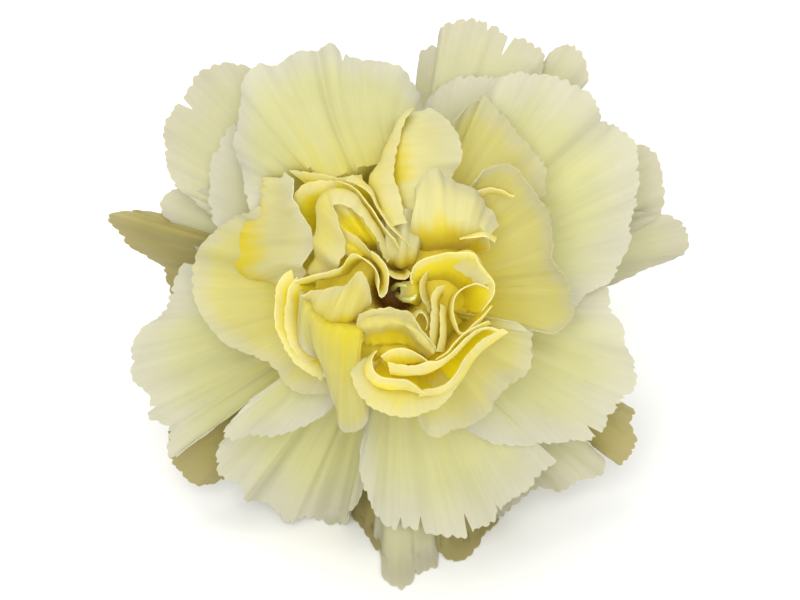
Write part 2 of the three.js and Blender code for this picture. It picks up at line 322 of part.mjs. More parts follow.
    rows: [[[3.2, -14, 16.6], [5, -13.8, 16.6], [7, -13.2, 16.6], [8.8, -11.9, 16.8],
       [9.9, -10.2, 17], [11, -8.6, 17], [12.4, -7.2, 17], [13.8, -6.2, 17], [15.2, -5.4, 17]]],
    margin: [[3.8, -12.9, 19.2], [5.4, -12.6, 19.5], [6.8, -11.9, 19.8], [7.9, -10.7, 20],
      [8.7, -9.1, 20.1], [9.9, -7.6, 20], [11.4, -6.2, 19.7], [12.9, -5.4, 19.3],
      [14.3, -4.8, 18.9]] },
  { name: "bowl", claw: [1.6, -7, 8.6],
    rows: [[[-2.5, -9.5, 17.3], [-3.4, -11.2, 16.8], [-2.8, -12.6, 16.6], [-0.8, -13.5, 16.2],
       [1.5, -13.6, 16.2], [4, -13.6, 16.4], [6, -13, 16.8], [7.5, -11.8, 17.4]]],
    margin: [[-3.9, -8.9, 19.5], [-5.9, -10.3, 18.6], [-5.7, -12.2, 18], [-4.5, -14.2, 17.6],
      [-2.8, -15.8, 17.2], [-0.8, -16.7, 17], [1.6, -17, 17], [4.2, -16.4, 17.3], [6.5, -15, 17.8],
      [8.2, -13.2, 18.4], [9.6, -11, 19]] },
];

const wasm = await Module();
wasm.setup();

// The surface that the flower lies on, as a height along its axis, for a point at y across the face.
function floorHeight(y) {
  return -AXIS_TO_CUT - y * Math.tan(TILT);
}

// A solid for joining and cutting, from merged vertices and triangles.
function solidFrom(vertices, triangles) {
  return new wasm.Manifold(new wasm.Mesh({
    numProp: 3,
    vertProperties: new Float32Array(vertices),
    triVerts: new Uint32Array(triangles),
  }));
}

function solidFromGeometry(geometry) {
  const bare = geometry.clone();
  bare.deleteAttribute("normal");
  bare.deleteAttribute("uv");
  const merged = mergeVertices(bare, 1e-4);
  return solidFrom(merged.attributes.position.array, merged.index.array);
}

// The largest body of a solid: sealed hollows are filled and loose scraps dropped.
function largestBody(solid) {
  const bodies = solid.decompose();
  return bodies.reduce((best, body) => (body.volume() > best.volume() ? body : best));
}

function geometryFrom(solid) {
  const mesh = solid.getMesh();
  const geometry = new THREE.BufferGeometry();
  geometry.setAttribute("position", new THREE.Float32BufferAttribute(mesh.vertProperties, 3));
  geometry.setIndex(Array.from(mesh.triVerts));
  return geometry;
}

// A thin closed blade round an open sheet of points: the same triangles on both faces,
// and a wall along the sheet's border. low(y) is the lowest height that a point may have.
function blade(points, normals, triangles, thickness, low) {
  const vertices = [];
  for (const side of [0.5, -0.5]) {
    points.forEach((point, i) => {
      const moved = point.clone().addScaledVector(normals[i], side * thickness);
      vertices.push(moved.x, moved.y, Math.max(moved.z, low(moved.y)));
    });
  }
  const count = points.length;
  const directed = new Set();
  const faces = [];
  for (const [a, b, c] of triangles) {
    faces.push(a, b, c, c + count, b + count, a + count);
    [[a, b], [b, c], [c, a]].forEach(([from, to]) => directed.add(`${from},${to}`));
  }
  for (const edge of directed) {
    const [from, to] = edge.split(",").map(Number);
    if (!directed.has(`${to},${from}`)) {
      faces.push(to, from, from + count, to, from + count, to + count);
    }
  }
  return solidFrom(vertices, faces);
}

// The triangles between two neighbouring rows, of n and m segments, whose first points are given.
function stitchRows(firstA, n, firstB, m) {
  const triangles = [];
  let i = 0;
  let j = 0;
  while (i < n || j < m) {
    const alongA = j === m || (i < n && (i + 1) * m <= (j + 1) * n);
    if (alongA) {
      triangles.push([firstA + i, firstB + j, firstA + i + 1]);
      i += 1;
    } else {
      triangles.push([firstA + i, firstB + j, firstB + j + 1]);
      j += 1;
    }
  }
  return triangles;
}

// A smooth curve through places given as [x, y, w].
function curveThrough(places) {
  const points = places.map((place) => new THREE.Vector3(...place));
  const curve = new THREE.CatmullRomCurve3(points, false, "centripetal");
  curve.arcLengthDivisions = 24 * points.length;
  return curve;
}

function centreOf(points) {
  const sum = points.reduce((total, point) => total.add(point), new THREE.Vector3());
  return sum.divideScalar(points.length);
}

// A spreading petal's curve to the rim at a place u along its margin. flare is the angle from the
// axis at which it arrives: 0 stands up, 90 lies level and more hangs down.
function spreadingColumn(petal, centre, rim, u) {
  const claw = new THREE.Vector3(...petal.claw);
  const across = new THREE.Vector3(claw.y - centre.y, centre.x - claw.x, 0).normalize();
  const flare = THREE.MathUtils.degToRad(petal.flare);
  const out = new THREE.Vector3(rim.x - claw.x, rim.y - claw.y, 0).normalize();
  const foot = claw.addScaledVector(across, (u - 0.5) * CLAW_WIDTH);
  const arrival = out.clone().multiplyScalar(Math.sin(flare)).setZ(Math.cos(flare));
  const rising = foot.clone().addScaledVector(out, 0.6);
  rising.z += petal.rise;
  const arriving = rim.clone().addScaledVector(arrival, -petal.reach * rim.distanceTo(foot));
  return new THREE.CubicBezierCurve3(foot, rising, arriving, rim);
}

// A folded petal's curve to the rim, through its rows. Its claw is folded like the first row.
function foldedColumn(petal, rows, rim, u) {
  const crossings = rows.map((row) => row.getPointAt(u));
  const foot = crossings[0].clone().sub(centreOf(rows[0].points)).multiplyScalar(CLAW_GATHER);
  foot.setZ(0).add(new THREE.Vector3(...petal.claw));
  return new THREE.CatmullRomCurve3([foot, ...crossings, rim], false, "centripetal");
}

// A petal's sheet. u runs along the margin and v from the claw to the margin, in equal steps from
// row to row on a folded petal.
function petalSurface(petal) {
  const margin = curveThrough(petal.margin);
  const rows = (petal.rows ?? []).map(curveThrough);
  const centre = centreOf(margin.points);
  const length = margin.getLength();
  const lift = PETAL_THICKNESS / 2 / Math.cos(TILT);

  function column(u) {
    const rim = margin.getPointAt(u);
    return petal.rows ? foldedColumn(petal, rows, rim, u) : spreadingColumn(petal, centre, rim, u);
  }

  function flat(u, v) {
    return column(THREE.MathUtils.clamp(u, 0, 1)).getPoint(THREE.MathUtils.clamp(v, 0, 1));
  }

  function normal(u, v) {
    const step = 0.02;
    const alongU = flat(u + step, v).sub(flat(u - step, v));
    const alongV = flat(u, v + step).sub(flat(u, v - step));
    return alongV.cross(alongU).normalize();
  }

  function at(u, v) {
    const point = flat(u, v);
    for (const [place, height, width] of petal.folds ?? []) {
      const spread = Math.max(width, 1.2 / length * MARGIN_STEP);
      const raised = height * Math.exp(-(((u - place) / spread) ** 2)) * v ** 1.5;
      point.addScaledVector(normal(u, v), raised);
    }
    point.z = Math.max(point.z, floorHeight(point.y) + lift);
    return point;
  }

  return { at, normal, length, column };
}

// The rows of points of a spreading petal's blade, closer towards the margin.
function spreadingRows(surface) {
  const teeth = Math.max(2, Math.round(surface.length / MARGIN_STEP / 4) * 2);
  return [
    { v: 0.1, n: 1 },
    { v: 0.4, n: Math.max(2, teeth / 2) },
    { v: 0.7, n: teeth },
    ...(surface.length > LONG_MARGIN ? [{ v: 0.9, n: teeth }] : []),
    { v: 1, n: teeth * 2 },
  ];
}

// The rows of points of a folded petal's blade, one at each of its rows.
function foldedRows(petal, surface) {
  const step = surface.length < SHORT_MARGIN ? FINE_STEP : MARGIN_STEP;
  const n = 2 * Math.max(2, Math.round(surface.length / step / 2));
  const stretches = petal.rows.length + 1;
  const levels = Array.from({ length: stretches }, (_, k) => ({ v: (k + 1) / stretches, n }));
  return [{ v: 0.2 / stretches, n: 2 }, ...levels];
}

// How far a notch of the margin goes back along v, on a spreading and on a folded petal.
function spreadingNotch(petal, surface) {
  return TOOTH_DEPTH / new THREE.Vector3(...petal.claw).distanceTo(surface.at(0.5, 1));
}

function foldedNotch(petal, surface) {
  const [before, rim] = surface.column(0.5).points.slice(-2);
  const depth = surface.length < SHORT_MARGIN ? TOOTH_DEPTH / 2 : TOOTH_DEPTH;
  return depth / rim.distanceTo(before) / (petal.rows.length + 1);
}

// One petal as a blade, whose margin steps in and out.
function petalBlade(petal) {
  const surface = petalSurface(petal);
  const rows = petal.rows ? foldedRows(petal, surface) : spreadingRows(surface);
  const notch = petal.rows ? foldedNotch(petal, surface) : spreadingNotch(petal, surface);
  const points = [];
  const normals = [];
  const triangles = [];
  let previous = null;
  for (const row of rows) {
    row.first = points.length;
    for (let i = 0; i <= row.n; i += 1) {
      const u = i / row.n;
      const tooth = row.v === 1 && i % 2 === 1 ? notch : 0;
      points.push(surface.at(u, row.v - tooth));
      normals.push(surface.normal(u, row.v - tooth));
    }
    if (previous) triangles.push(...stitchRows(previous.first, previous.n, row.first, row.n));
    previous = row;
  }
  return blade(points, normals, triangles, PETAL_THICKNESS, floorHeight);
}

// Plain petals under the ring, seen from behind only, at the azimuths that the guards leave free.
function hiddenPetals() {
  return UNDER_AZIMUTHS.map((degrees, i) => {
    const azimuth = THREE.MathUtils.degToRad(degrees);
    const margin = UNDER_FAN.map((offset, k) => {
      const angle = azimuth + THREE.MathUtils.degToRad(offset);
      const radius = UNDER_RADIUS - 0.09 * Math.abs(offset) + 0.8 * Math.sin(2.1 * k + i);
      return [radius * Math.cos(angle), radius * Math.sin(angle), UNDER_HEIGHT - 0.5 * (i % 2)];
    });
    const claw = [4.6 * Math.cos(azimuth), 4.6 * Math.sin(azimuth), 2.4];
    return { claw, rise: 6, flare: 98, reach: 0.35, margin };
  });
}

// A solid of revolution about the flower's axis, from a profile of [radius, height] points.
function turned(profile, sides) {
  const points = profile.map(([radius, height]) => new THREE.Vector2(radius, height));
  return new THREE.LatheGeometry(points, sides).rotateX(Math.PI / 2);
}

// The bloom: the packed claws of the petals, with the pit of the styles, and every petal on them.
function bloomGeometry() {
  let bloom = solidFromGeometry(turned(CORE_PROFILE, CORE_SIDES));
  for (const petal of [...PETALS, ...hiddenPetals()]) {
    bloom = bloom.add(petalBlade(petal));
  }
  return geometryFrom(largestBody(bloom));
}

// A pointed scale of the calyx, on the line [radius, height] points give, at an azimuth.
function scale(azimuth, line, width, thickness) {
  const points = [];
  const normals = [];
  const turn = new THREE.Quaternion().setFromAxisAngle(new THREE.Vector3(0, 0, 1), azimuth);
  const triangles = [];
  line.forEach(([radius, height], row) => {
    const half = width / 2 * Math.max(0.06, Math.cos(row / (line.length - 1) * Math.PI / 2));
    [1, 0, -1].forEach((side) => {
      const angle = side * half / radius;
      const direction = new THREE.Vector3(Math.cos(angle), Math.sin(angle), 0).applyQuaternion(turn);
      points.push(direction.clone().multiplyScalar(radius).setZ(height));
      normals.push(direction);
    });
    if (row > 0) triangles.push(...stitchRows(3 * row - 3, 2, 3 * row, 2));
  });
  return blade(points, normals, triangles, thickness, () => -Infinity);
}

// The calyx: a ribbed tube, filled by the petals' claws, with its teeth and the bracts at its foot.
function calyxGeometry() {
  const profile = [[0, CALYX_FOOT], [2.9, CALYX_FOOT], [4.6, CALYX_FOOT + 1.6], [5.9, CALYX_FOOT + 6],
    [6.4, -16], [CALYX_RADIUS, CALYX_TOP], [0, CALYX_TOP]];
  const tube = turned(profile, CALYX_RIBS * 2);
  const position = tube.attributes.position;
  for (let i = 0; i < position.count; i += 1) {
    const radius = Math.hypot(position.getX(i), position.getY(i));
    const lobe = Math.cos(CALYX_RIBS * Math.atan2(position.getY(i), position.getX(i)));
    const factor = radius > 3 ? 1 + RIB_HEIGHT * lobe / radius : 1;
    position.setXYZ(i, position.getX(i) * factor, position.getY(i) * factor, position.getZ(i));
  }
  let calyx = solidFromGeometry(tube);
  for (let i = 0; i < CALYX_TEETH; i += 1) {
    const line = [[6.35, CALYX_TOP - 1.5], [6.4, CALYX_TOP + 1], [6.5, CALYX_TOP + 3], [6.8, TOOTH_TIP]];
    calyx = calyx.add(scale(i / CALYX_TEETH * 2 * Math.PI, line, TOOTH_WIDTH, TOOTH_THICKNESS));
  }
  for (let i = 0; i < BRACTS; i += 1) {
    const foot = CALYX_FOOT + 0.8;
    const line = [[3.7, foot], [5.2, foot + 2.6], [6.2, foot + 5.6], [6.9, foot + BRACT_LENGTH]];
    const azimuth = (i + 0.5) / BRACTS * 2 * Math.PI;
    calyx = calyx.add(scale(azimuth, line, BRACT_WIDTH, TOOTH_THICKNESS));
  }
  return geometryFrom(largestBody(calyx));
}

// The stub of stem, cut aslant so that its cut face lies on the surface.
function stemGeometry() {
  const stem = new THREE.CylinderGeometry(STEM_RADIUS, STEM_RADIUS, 1, STEM_SIDES).rotateX(Math.PI / 2);
  const position = stem.attributes.position;
  for (let i = 0; i < position.count; i += 1) {
    const height = position.getZ(i) > 0 ? STEM_TOP : floorHeight(position.getY(i));
    position.setZ(i, height);
  }
  stem.deleteAttribute("normal");
  stem.deleteAttribute("uv");
  return mergeVertices(stem, 1e-4);
}

// The styles: two pale threads that rise from the pit and curl over at their tips.
function stylesGeometry() {
  const round = new THREE.Shape().absarc(0, 0, STYLE_RADIUS, 0, 2 * Math.PI);
  let styles = null;
  for (const route of STYLE_ROUTES) {
    const path = new THREE.CatmullRomCurve3(route.map((point) => new THREE.Vector3(...point)));
    const thread = new THREE.ExtrudeGeometry(round,
      { steps: 14, curveSegments: 6, bevelEnabled: false, extrudePath: path });
    const solid = solidFromGeometry(thread);
    styles = styles ? styles.add(solid) : solid;
  }
  return geometryFrom(largestBody(styles));
}

// Each sub-part under its own name, in the flower's own frame.
function subPart(name, geometry, color, roughness) {
  const mesh = new THREE.Mesh(geometry, new THREE.MeshStandardMaterial({ color, roughness, metalness: 0 }));
  mesh.name = name;
  return mesh;
}

const flower = new THREE.Group();
flower.add(
  subPart("bloom", bloomGeometry(), 0xe4e0a4, 0.6),
  subPart("calyx", calyxGeometry(), 0x8aa06a, 0.5),
  subPart("stem", stemGeometry(), 0x7d9a62, 0.5),
  subPart("styles", stylesGeometry(), 0xe9ecc4, 0.5),
);
flower.rotation.x = TILT;
flower.position.copy(PLACE);

const model = new THREE.Group();
model.add(flower);
export default model;
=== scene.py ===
# A cut carnation: one pale yellow double bloom with its calyx and a short stub of stem. It lies on
# the cut end of the stem and on the tips of its lowest guard petals, and the camera looks straight
# down the flower's axis into the face of the bloom, as the photograph does.
# The flower is described in its own frame, in millimetres: x and y across the bloom's face, and w
# along its axis, with w = 0 at the mouth of the calyx and w growing towards the face.
import math
import random

import bpy
import numpy as np
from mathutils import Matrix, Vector

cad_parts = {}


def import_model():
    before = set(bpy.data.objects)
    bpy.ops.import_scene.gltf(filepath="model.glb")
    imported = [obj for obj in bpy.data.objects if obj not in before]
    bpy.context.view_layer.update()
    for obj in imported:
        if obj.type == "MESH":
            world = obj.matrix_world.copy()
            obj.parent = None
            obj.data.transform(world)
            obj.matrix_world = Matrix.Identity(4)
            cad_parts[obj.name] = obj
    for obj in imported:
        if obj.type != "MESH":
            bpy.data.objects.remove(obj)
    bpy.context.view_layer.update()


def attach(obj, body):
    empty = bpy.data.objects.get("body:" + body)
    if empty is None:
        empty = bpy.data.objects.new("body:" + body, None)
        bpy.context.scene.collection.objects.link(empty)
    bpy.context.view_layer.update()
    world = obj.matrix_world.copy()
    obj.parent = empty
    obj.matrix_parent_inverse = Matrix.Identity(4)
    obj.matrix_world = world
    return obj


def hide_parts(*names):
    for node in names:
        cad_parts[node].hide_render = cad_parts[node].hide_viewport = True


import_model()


# ---- Camera. It stands far off on the flower's axis, so that the bloom shows as flat as in the
# ---- photograph, and one picture width takes in 108 mm at the middle of the bloom.
MM = 0.001                     # in metres
LEAN = math.radians(47)        # of the flower's axis from upright
AXIS_TO_CUT = 50.0             # from the calyx mouth to the cut end of the stem, along the axis
MOUTH = np.array((-0.7, -7.91, AXIS_TO_CUT * math.cos(LEAN)))   # of the calyx, from the origin
ACROSS = np.array((1.0, 0.0, 0.0))
UP_FACE = np.array((0.0, math.cos(LEAN), math.sin(LEAN)))
AXIS = np.array((0.0, -math.sin(LEAN), math.cos(LEAN)))
AIM = (0.68, -1.08, 8.0)       # the flower's point in the middle of the picture
PICTURE_WIDTH = 108.1
CAMERA_DISTANCE = 2000.0
SENSOR_WIDTH = 36.0


def world(points):
    """Points of the flower, in millimetres, as places in the scene, in metres."""
    points = np.asarray(points, dtype=float)
    x, y, w = points[..., :1], points[..., 1:2], points[..., 2:]
    return (MOUTH + x * ACROSS + y * UP_FACE + w * AXIS) * MM


camera_data = bpy.data.cameras.new("camera")
camera_data.sensor_width = SENSOR_WIDTH
camera_data.lens = SENSOR_WIDTH * CAMERA_DISTANCE / PICTURE_WIDTH
camera_data.clip_end = 10 * CAMERA_DISTANCE * MM
camera = bpy.data.objects.new("camera", camera_data)
camera.location = Vector(world(AIM)) + Vector(AXIS) * CAMERA_DISTANCE * MM
camera.rotation_euler = (LEAN, 0.0, 0.0)
bpy.context.collection.objects.link(camera)
bpy.context.scene.camera = camera
bpy.context.scene.view_settings.view_transform = "Standard"


# ---- Floor and light. A pale matt floor, an even white sky, and three broad soft lamps, one beside
# ---- the camera, one overhead and a weak one from the right, so that shadows stay faint.
FLOOR_SIZE = 6.0
SKY_STRENGTH = 0.65
LAMPS = [   # place in metres, width in metres, power in watts
    ((-0.15, -1.25, 1.25), 1.1, 17.0),
    ((-0.3, 0.35, 1.6), 1.2, 12.0),
    ((1.15, -0.55, 0.95), 1.0, 4.5),
]


def linear(code):
    """An sRGB hex colour as the linear colour that a shader takes."""
    parts = [int(code[i:i + 2], 16) / 255 for i in (1, 3, 5)]
    return tuple(c / 12.92 if c <= 0.04045 else ((c + 0.055) / 1.055) ** 2.4 for c in parts) + (1.0,)


def node(tree, kind, inputs=None, **settings):
    """Adds a node. settings are its own properties; inputs are values or sockets for its inputs."""
    new = tree.nodes.new(kind)
    for name, value in settings.items():
        setattr(new, name, value)
    for name, value in (inputs or {}).items():
        if isinstance(value, bpy.types.NodeSocket):
            tree.links.new(value, new.inputs[name])
        else:
            new.inputs[name].default_value = value
    return new


def new_material(name):
    """An empty material and its node tree."""
    material = bpy.data.materials.new(name)
    material.use_nodes = True
    material.node_tree.nodes.clear()
    return material, material.node_tree


def mesh_piece(name, points, faces, materials, face_materials=None):
    """A smooth mesh object at the origin, from points in metres."""
    mesh = bpy.data.meshes.new(name)
    mesh.from_pydata(np.asarray(points).tolist(), [], list(faces))
    mesh.polygons.foreach_set("use_smooth", np.ones(len(mesh.polygons), dtype=bool))
    for material in materials:
        mesh.materials.append(material)
    if face_materials is not None:
        mesh.polygons.foreach_set("material_index", np.asarray(face_materials, dtype=np.int32))
    mesh.update()
    piece = bpy.data.objects.new(name, mesh)
    bpy.context.collection.objects.link(piece)
    return piece


# Coated board: an even white, quite matt, so that it mirrors nothing of the flower.
matt_board, tree = new_material("matt_white_board")
shade = node(tree, "ShaderNodeBsdfPrincipled", {"Base Color": linear("#F7F7F5"), "Roughness": 0.9})
node(tree, "ShaderNodeOutputMaterial", {"Surface": shade.outputs[0]})

half = FLOOR_SIZE / 2
corners = [(-half, -half, 0), (half, -half, 0), (half, half, 0), (-half, half, 0)]
floor = mesh_piece("floor", corners, [(0, 1, 2, 3)], [matt_board])

white_sky = bpy.data.worlds.new("white_sky")
white_sky.use_nodes = True
background = white_sky.node_tree.nodes["Background"]
background.inputs["Color"].default_value = (1, 1, 1, 1)
background.inputs["Strength"].default_value = SKY_STRENGTH
bpy.context.scene.world = white_sky

for number, (place, width, power) in enumerate(LAMPS):
    lamp_data = bpy.data.lights.new(f"lamp_{number}", "AREA")
    lamp_data.size = width
    lamp_data.energy = power
    lamp = bpy.data.objects.new(f"lamp_{number}", lamp_data)
    lamp.location = place
    lamp.rotation_euler = (Vector(place) * -1).to_track_quat("-Z", "Y").to_euler()
    bpy.context.collection.objects.link(lamp)


# ---- Stem. A short stub of the carnation's jointed stem: firm green tissue under a grey, waxy skin,
# ---- cut aslant so that the pale, wet cut lies flat on the floor. It grows from the calyx's foot.
CALYX_FOOT = -29.0
STEM_RADIUS = 2.3
STEM_TOP = CALYX_FOOT - 0.3
STEM_ROWS = 16
STEM_SIDES = 48
STEM_SWELLING = 0.05           # under the calyx, as a share of the radius
STEM_SWELLING_ONSET = 6        # the higher, the closer under the calyx it begins
STEM_RIBS = 9
STEM_RIB_HEIGHT = 0.012        # as a share of the radius
STEM_END = 0.05                # the closing ring's share of the radius, under the calyx
CUT_RINGS = (0.08, 0.45, 0.8, 0.97)    # of the cut face, as shares of the radius
CUT_LIFT = 0.06                # keeps the cut face just clear of the floor
MIX_SHARE, MIX_FROM, MIX_TO = 0, 6, 7  # inputs of a Mix node for colours
MIXED = 2                              # and its output


def floor_height(y):
    """How far along the axis the floor lies, below a point at y across the face."""
    return -AXIS_TO_CUT - y * math.tan(LEAN)


def circle(sides):
    """The angles of the corners of a ring."""
    return np.linspace(0, 2 * math.pi, sides, endpoint=False)


def about_axis(radius, angle, height):
    """Points at a distance and an angle about the flower's axis, and at a height along it."""
    return np.stack([radius * np.cos(angle), radius * np.sin(angle),
                     np.broadcast_to(height, angle.shape)], axis=-1)


def grid_faces(rows, columns, closed=False):
    """Quads of a grid of points. On a closed grid the last column meets the first."""
    row, column = np.meshgrid(np.arange(rows - 1), np.arange(columns - (not closed)), indexing="ij")
    first = row * columns + column
    second = row * columns + (column + 1) % columns
    return np.stack([first, second, second + columns, first + columns], axis=-1).reshape(-1, 4)


def tube_piece(name, rings, materials, face_materials=None):
    """A tube through rings of the flower's points, closed at its first and its last ring."""
    rows, sides = len(rings), len(rings[0])
    start = list(range(sides))
    ends = [start[::-1], [(rows - 1) * sides + k for k in start]]
    faces = grid_faces(rows, sides, closed=True).tolist() + ends
    return mesh_piece(name, world(np.reshape(rings, (-1, 3))), faces, materials, face_materials)


def axis_pattern(tree, across, along):
    """Coordinates that run along the flower's axis. One unit is across mm wide and along mm long."""
    place = node(tree, "ShaderNodeTexCoord")
    turned = node(tree, "ShaderNodeMapping",
                  {"Vector": place.outputs["Object"], "Rotation": (-LEAN, 0, 0)})
    scale = (1 / (across * MM), 1 / (across * MM), 1 / (along * MM))
    return node(tree, "ShaderNodeMapping", {"Vector": turned.outputs[0], "Scale": scale}).outputs[0]


# Waxy epidermis: grey-green, with a powdery bloom that leaves it satin, and fine ribs along the axis.
waxy_skin, tree = new_material("waxy_green_skin")
patches = node(tree, "ShaderNodeTexNoise", {
    "Vector": axis_pattern(tree, 2.2, 6.0), "Scale": 1.0, "Detail": 4.0, "Roughness": 0.6})
streaks = node(tree, "ShaderNodeTexNoise", {
    "Vector": axis_pattern(tree, 0.28, 9.0), "Scale": 1.0, "Detail": 3.0})
powdered = node(tree, "ShaderNodeMix", {
    MIX_FROM: linear("#7C9A5E"), MIX_TO: linear("#A9BC98"), MIX_SHARE: patches.outputs[0]},
    data_type="RGBA")
in_grooves = node(tree, "ShaderNodeMapRange", {
    "Value": streaks.outputs[0], "From Min": 0.52, "From Max": 0.75, "To Max": 0.55})
ribbed = node(tree, "ShaderNodeMix", {
    MIX_FROM: powdered.outputs[MIXED], MIX_TO: linear("#6E8B50"), MIX_SHARE: in_grooves.outputs[0]},
    data_type="RGBA")
rough = node(tree, "ShaderNodeMapRange", {"Value": patches.outputs[0], "To Min": 0.38, "To Max": 0.6})
relief = node(tree, "ShaderNodeBump", {
    "Height": streaks.outputs[0], "Strength": 0.35, "Distance": 0.12 * MM})
shade = node(tree, "ShaderNodeBsdfPrincipled", {
    "Base Color": ribbed.outputs[MIXED], "Roughness": rough.outputs[0], "Normal": relief.outputs[0],
    "IOR": 1.42, "Coat Weight": 0.12, "Coat Roughness": 0.35})
node(tree, "ShaderNodeOutputMaterial", {"Surface": shade.outputs[0]})

# Fresh cut tissue: pale green and moist, so a little glossy, with darker fibres.
cut_tissue, tree = new_material("cut_stem_tissue")
fibres = node(tree, "ShaderNodeTexVoronoi", {"Vector": axis_pattern(tree, 0.3, 40.0), "Scale": 1.0})
tissue = node(tree, "ShaderNodeMix", {
    MIX_FROM: linear("#CBD6A6"), MIX_TO: linear("#98AC6E"), MIX_SHARE: fibres.outputs["Distance"]},
    data_type="RGBA")
shade = node(tree, "ShaderNodeBsdfPrincipled", {
    "Base Color": tissue.outputs[MIXED], "Roughness": 0.35, "IOR": 1.38})
node(tree, "ShaderNodeOutputMaterial", {"Surface": shade.outputs[0]})

angles = circle(STEM_SIDES)
skin_rings = []
for share in np.linspace(0, 1, STEM_ROWS):
    swelling = STEM_SWELLING * share ** STEM_SWELLING_ONSET
    ribs = STEM_RIB_HEIGHT * np.cos(STEM_RIBS * angles)
    ring = about_axis(STEM_RADIUS * (1 + swelling + ribs), angles, 0)
    foot = floor_height(ring[:, 1]) + CUT_LIFT
    ring[:, 2] = foot + (STEM_TOP - foot) * share
    skin_rings.append(ring)
skin_rings.append(skin_rings[-1] * (STEM_END, STEM_END, 1))
cut_rings = []
for share in CUT_RINGS:
    ring = share * skin_rings[0]
    ring[:, 2] = floor_height(ring[:, 1]) + CUT_LIFT
    cut_rings.append(ring)
on_cut = [1] * len(cut_rings) * STEM_SIDES + [0] * STEM_ROWS * STEM_SIDES + [1, 0]
stem = tube_piece("stem_stub", cut_rings + skin_rings, [waxy_skin, cut_tissue], on_cut)
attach(stem, "root")
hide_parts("stem")


# ---- Calyx. The green tube that holds the petals together, grown as one piece with five pointed
# ---- teeth. It is leathery and waxy, with a nerve up the middle of each tooth and between them.
CALYX_SIDES = 200
CALYX_CURVE = [(0.4, -29.0), (2.6, -29.0), (3.2, -28.8), (4.6, -27.4), (5.9, -23.0), (6.4, -16.0),
               (6.65, -10.0), (6.7, -5.6)]    # radius and height
CALYX_RADIUS = 6.7
CALYX_ROWS = 40
CALYX_MOUTH = -5.2
CALYX_WALL = 0.5
CALYX_THINNING = 0.5           # the share of its wall that it loses up to the tips of the teeth
CALYX_FLOOR = -9.0             # inside the tube
INNER_ROWS = 8
TEETH = 5
TOOTH_ROWS = 12
TOOTH_HEIGHT = 4.3
TOOTH_POINT = 0.85             # below 1 the sides of a tooth bulge
TOOTH_FLARE = 0.12             # of its tip, outwards
TOOTH_EDGE = 0.05              # how far its inner face ends below its outer one
NERVES = 10
NERVE_HEIGHT = 0.2
NERVE_WIDTH = 0.35             # as a share of half the way to the next one
NERVE_FADING = 0.7             # the share of its height that a nerve loses up to a tip
NERVE_FOOT = 6.0               # the radius within which the nerves die away


def way_off(angle, count):
    """How far an angle is from the nearest of count places round a circle, 1 being half-way."""
    return np.abs((angle * count / (2 * math.pi) + 0.5) % 1 - 0.5) * 2


def between(curve, count):
    """count points evenly spaced along a line of points."""
    curve = np.asarray(curve, dtype=float)
    way = np.concatenate([[0], np.cumsum(np.linalg.norm(np.diff(curve, axis=0), axis=1))])
    places = np.linspace(0, way[-1], count)
    return np.stack([np.interp(places, way, column) for column in curve.T], axis=-1)


angles = circle(CALYX_SIDES)
tooth = TOOTH_HEIGHT * (1 - way_off(angles, TEETH)) ** TOOTH_POINT
nerve = NERVE_HEIGHT * np.exp(-(way_off(angles, NERVES) / NERVE_WIDTH) ** 2)
rings = []
for radius, height in between(CALYX_CURVE, CALYX_ROWS):
    rings.append(about_axis(radius + nerve * min(1, radius / NERVE_FOOT), angles, height))
for share in np.linspace(0, 1, TOOTH_ROWS):
    radius = CALYX_RADIUS + TOOTH_FLARE * share + nerve * (1 - NERVE_FADING * share)
    rings.append(about_axis(radius, angles, CALYX_MOUTH + share * tooth))
for share in np.linspace(1, 0, INNER_ROWS):
    radius = CALYX_RADIUS + TOOTH_FLARE * share - CALYX_WALL * (1 - CALYX_THINNING * share)
    height = CALYX_FLOOR + (CALYX_MOUTH + tooth - CALYX_FLOOR - TOOTH_EDGE) * share
    rings.append(about_axis(radius, angles, height))
calyx = tube_piece("calyx_tube", rings, [waxy_skin])
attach(calyx, "root")
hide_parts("calyx")


# ---- Bracts. Four short, pointed scales that clasp the foot of the calyx in two crossed pairs. They
# ---- are of the same leathery tissue and grow from the top of the stem.
BRACTS = 4
BRACT_LINE = [(3.9, -28.4), (5.3, -25.6), (6.5, -22.6), (7.1, -19.0)]    # radius and height
BRACT_ROWS = 16
BRACT_COLUMNS = 13
BRACT_WIDTH = 7.5
BRACT_WALL = 0.5
BRACT_POINT = 0.8              # below 1 the sides of a bract bulge
BRACT_TIP = 0.04               # the tip's share of the width
BRACT_KEEL = 0.12              # how far the middle of a bract bulges
BRACT_OVERLAP = 0.25           # how far one pair stands outside the other


def blade(upper, under):
    """Points and faces of a thin closed blade between two like grids of points."""
    rows, columns = upper.shape[:2]
    count = rows * columns
    sheet = grid_faces(rows, columns)
    index = np.arange(count).reshape(rows, columns)
    rim = np.concatenate([index[0, :-1], index[:-1, -1], index[-1, :0:-1], index[:0:-1, 0]])
    after = np.roll(rim, -1)
    wall = np.stack([rim, after, after + count, rim + count], axis=-1)
    points = np.concatenate([upper.reshape(-1, 3), under.reshape(-1, 3)])
    return points, np.concatenate([sheet[:, ::-1], sheet + count, wall])


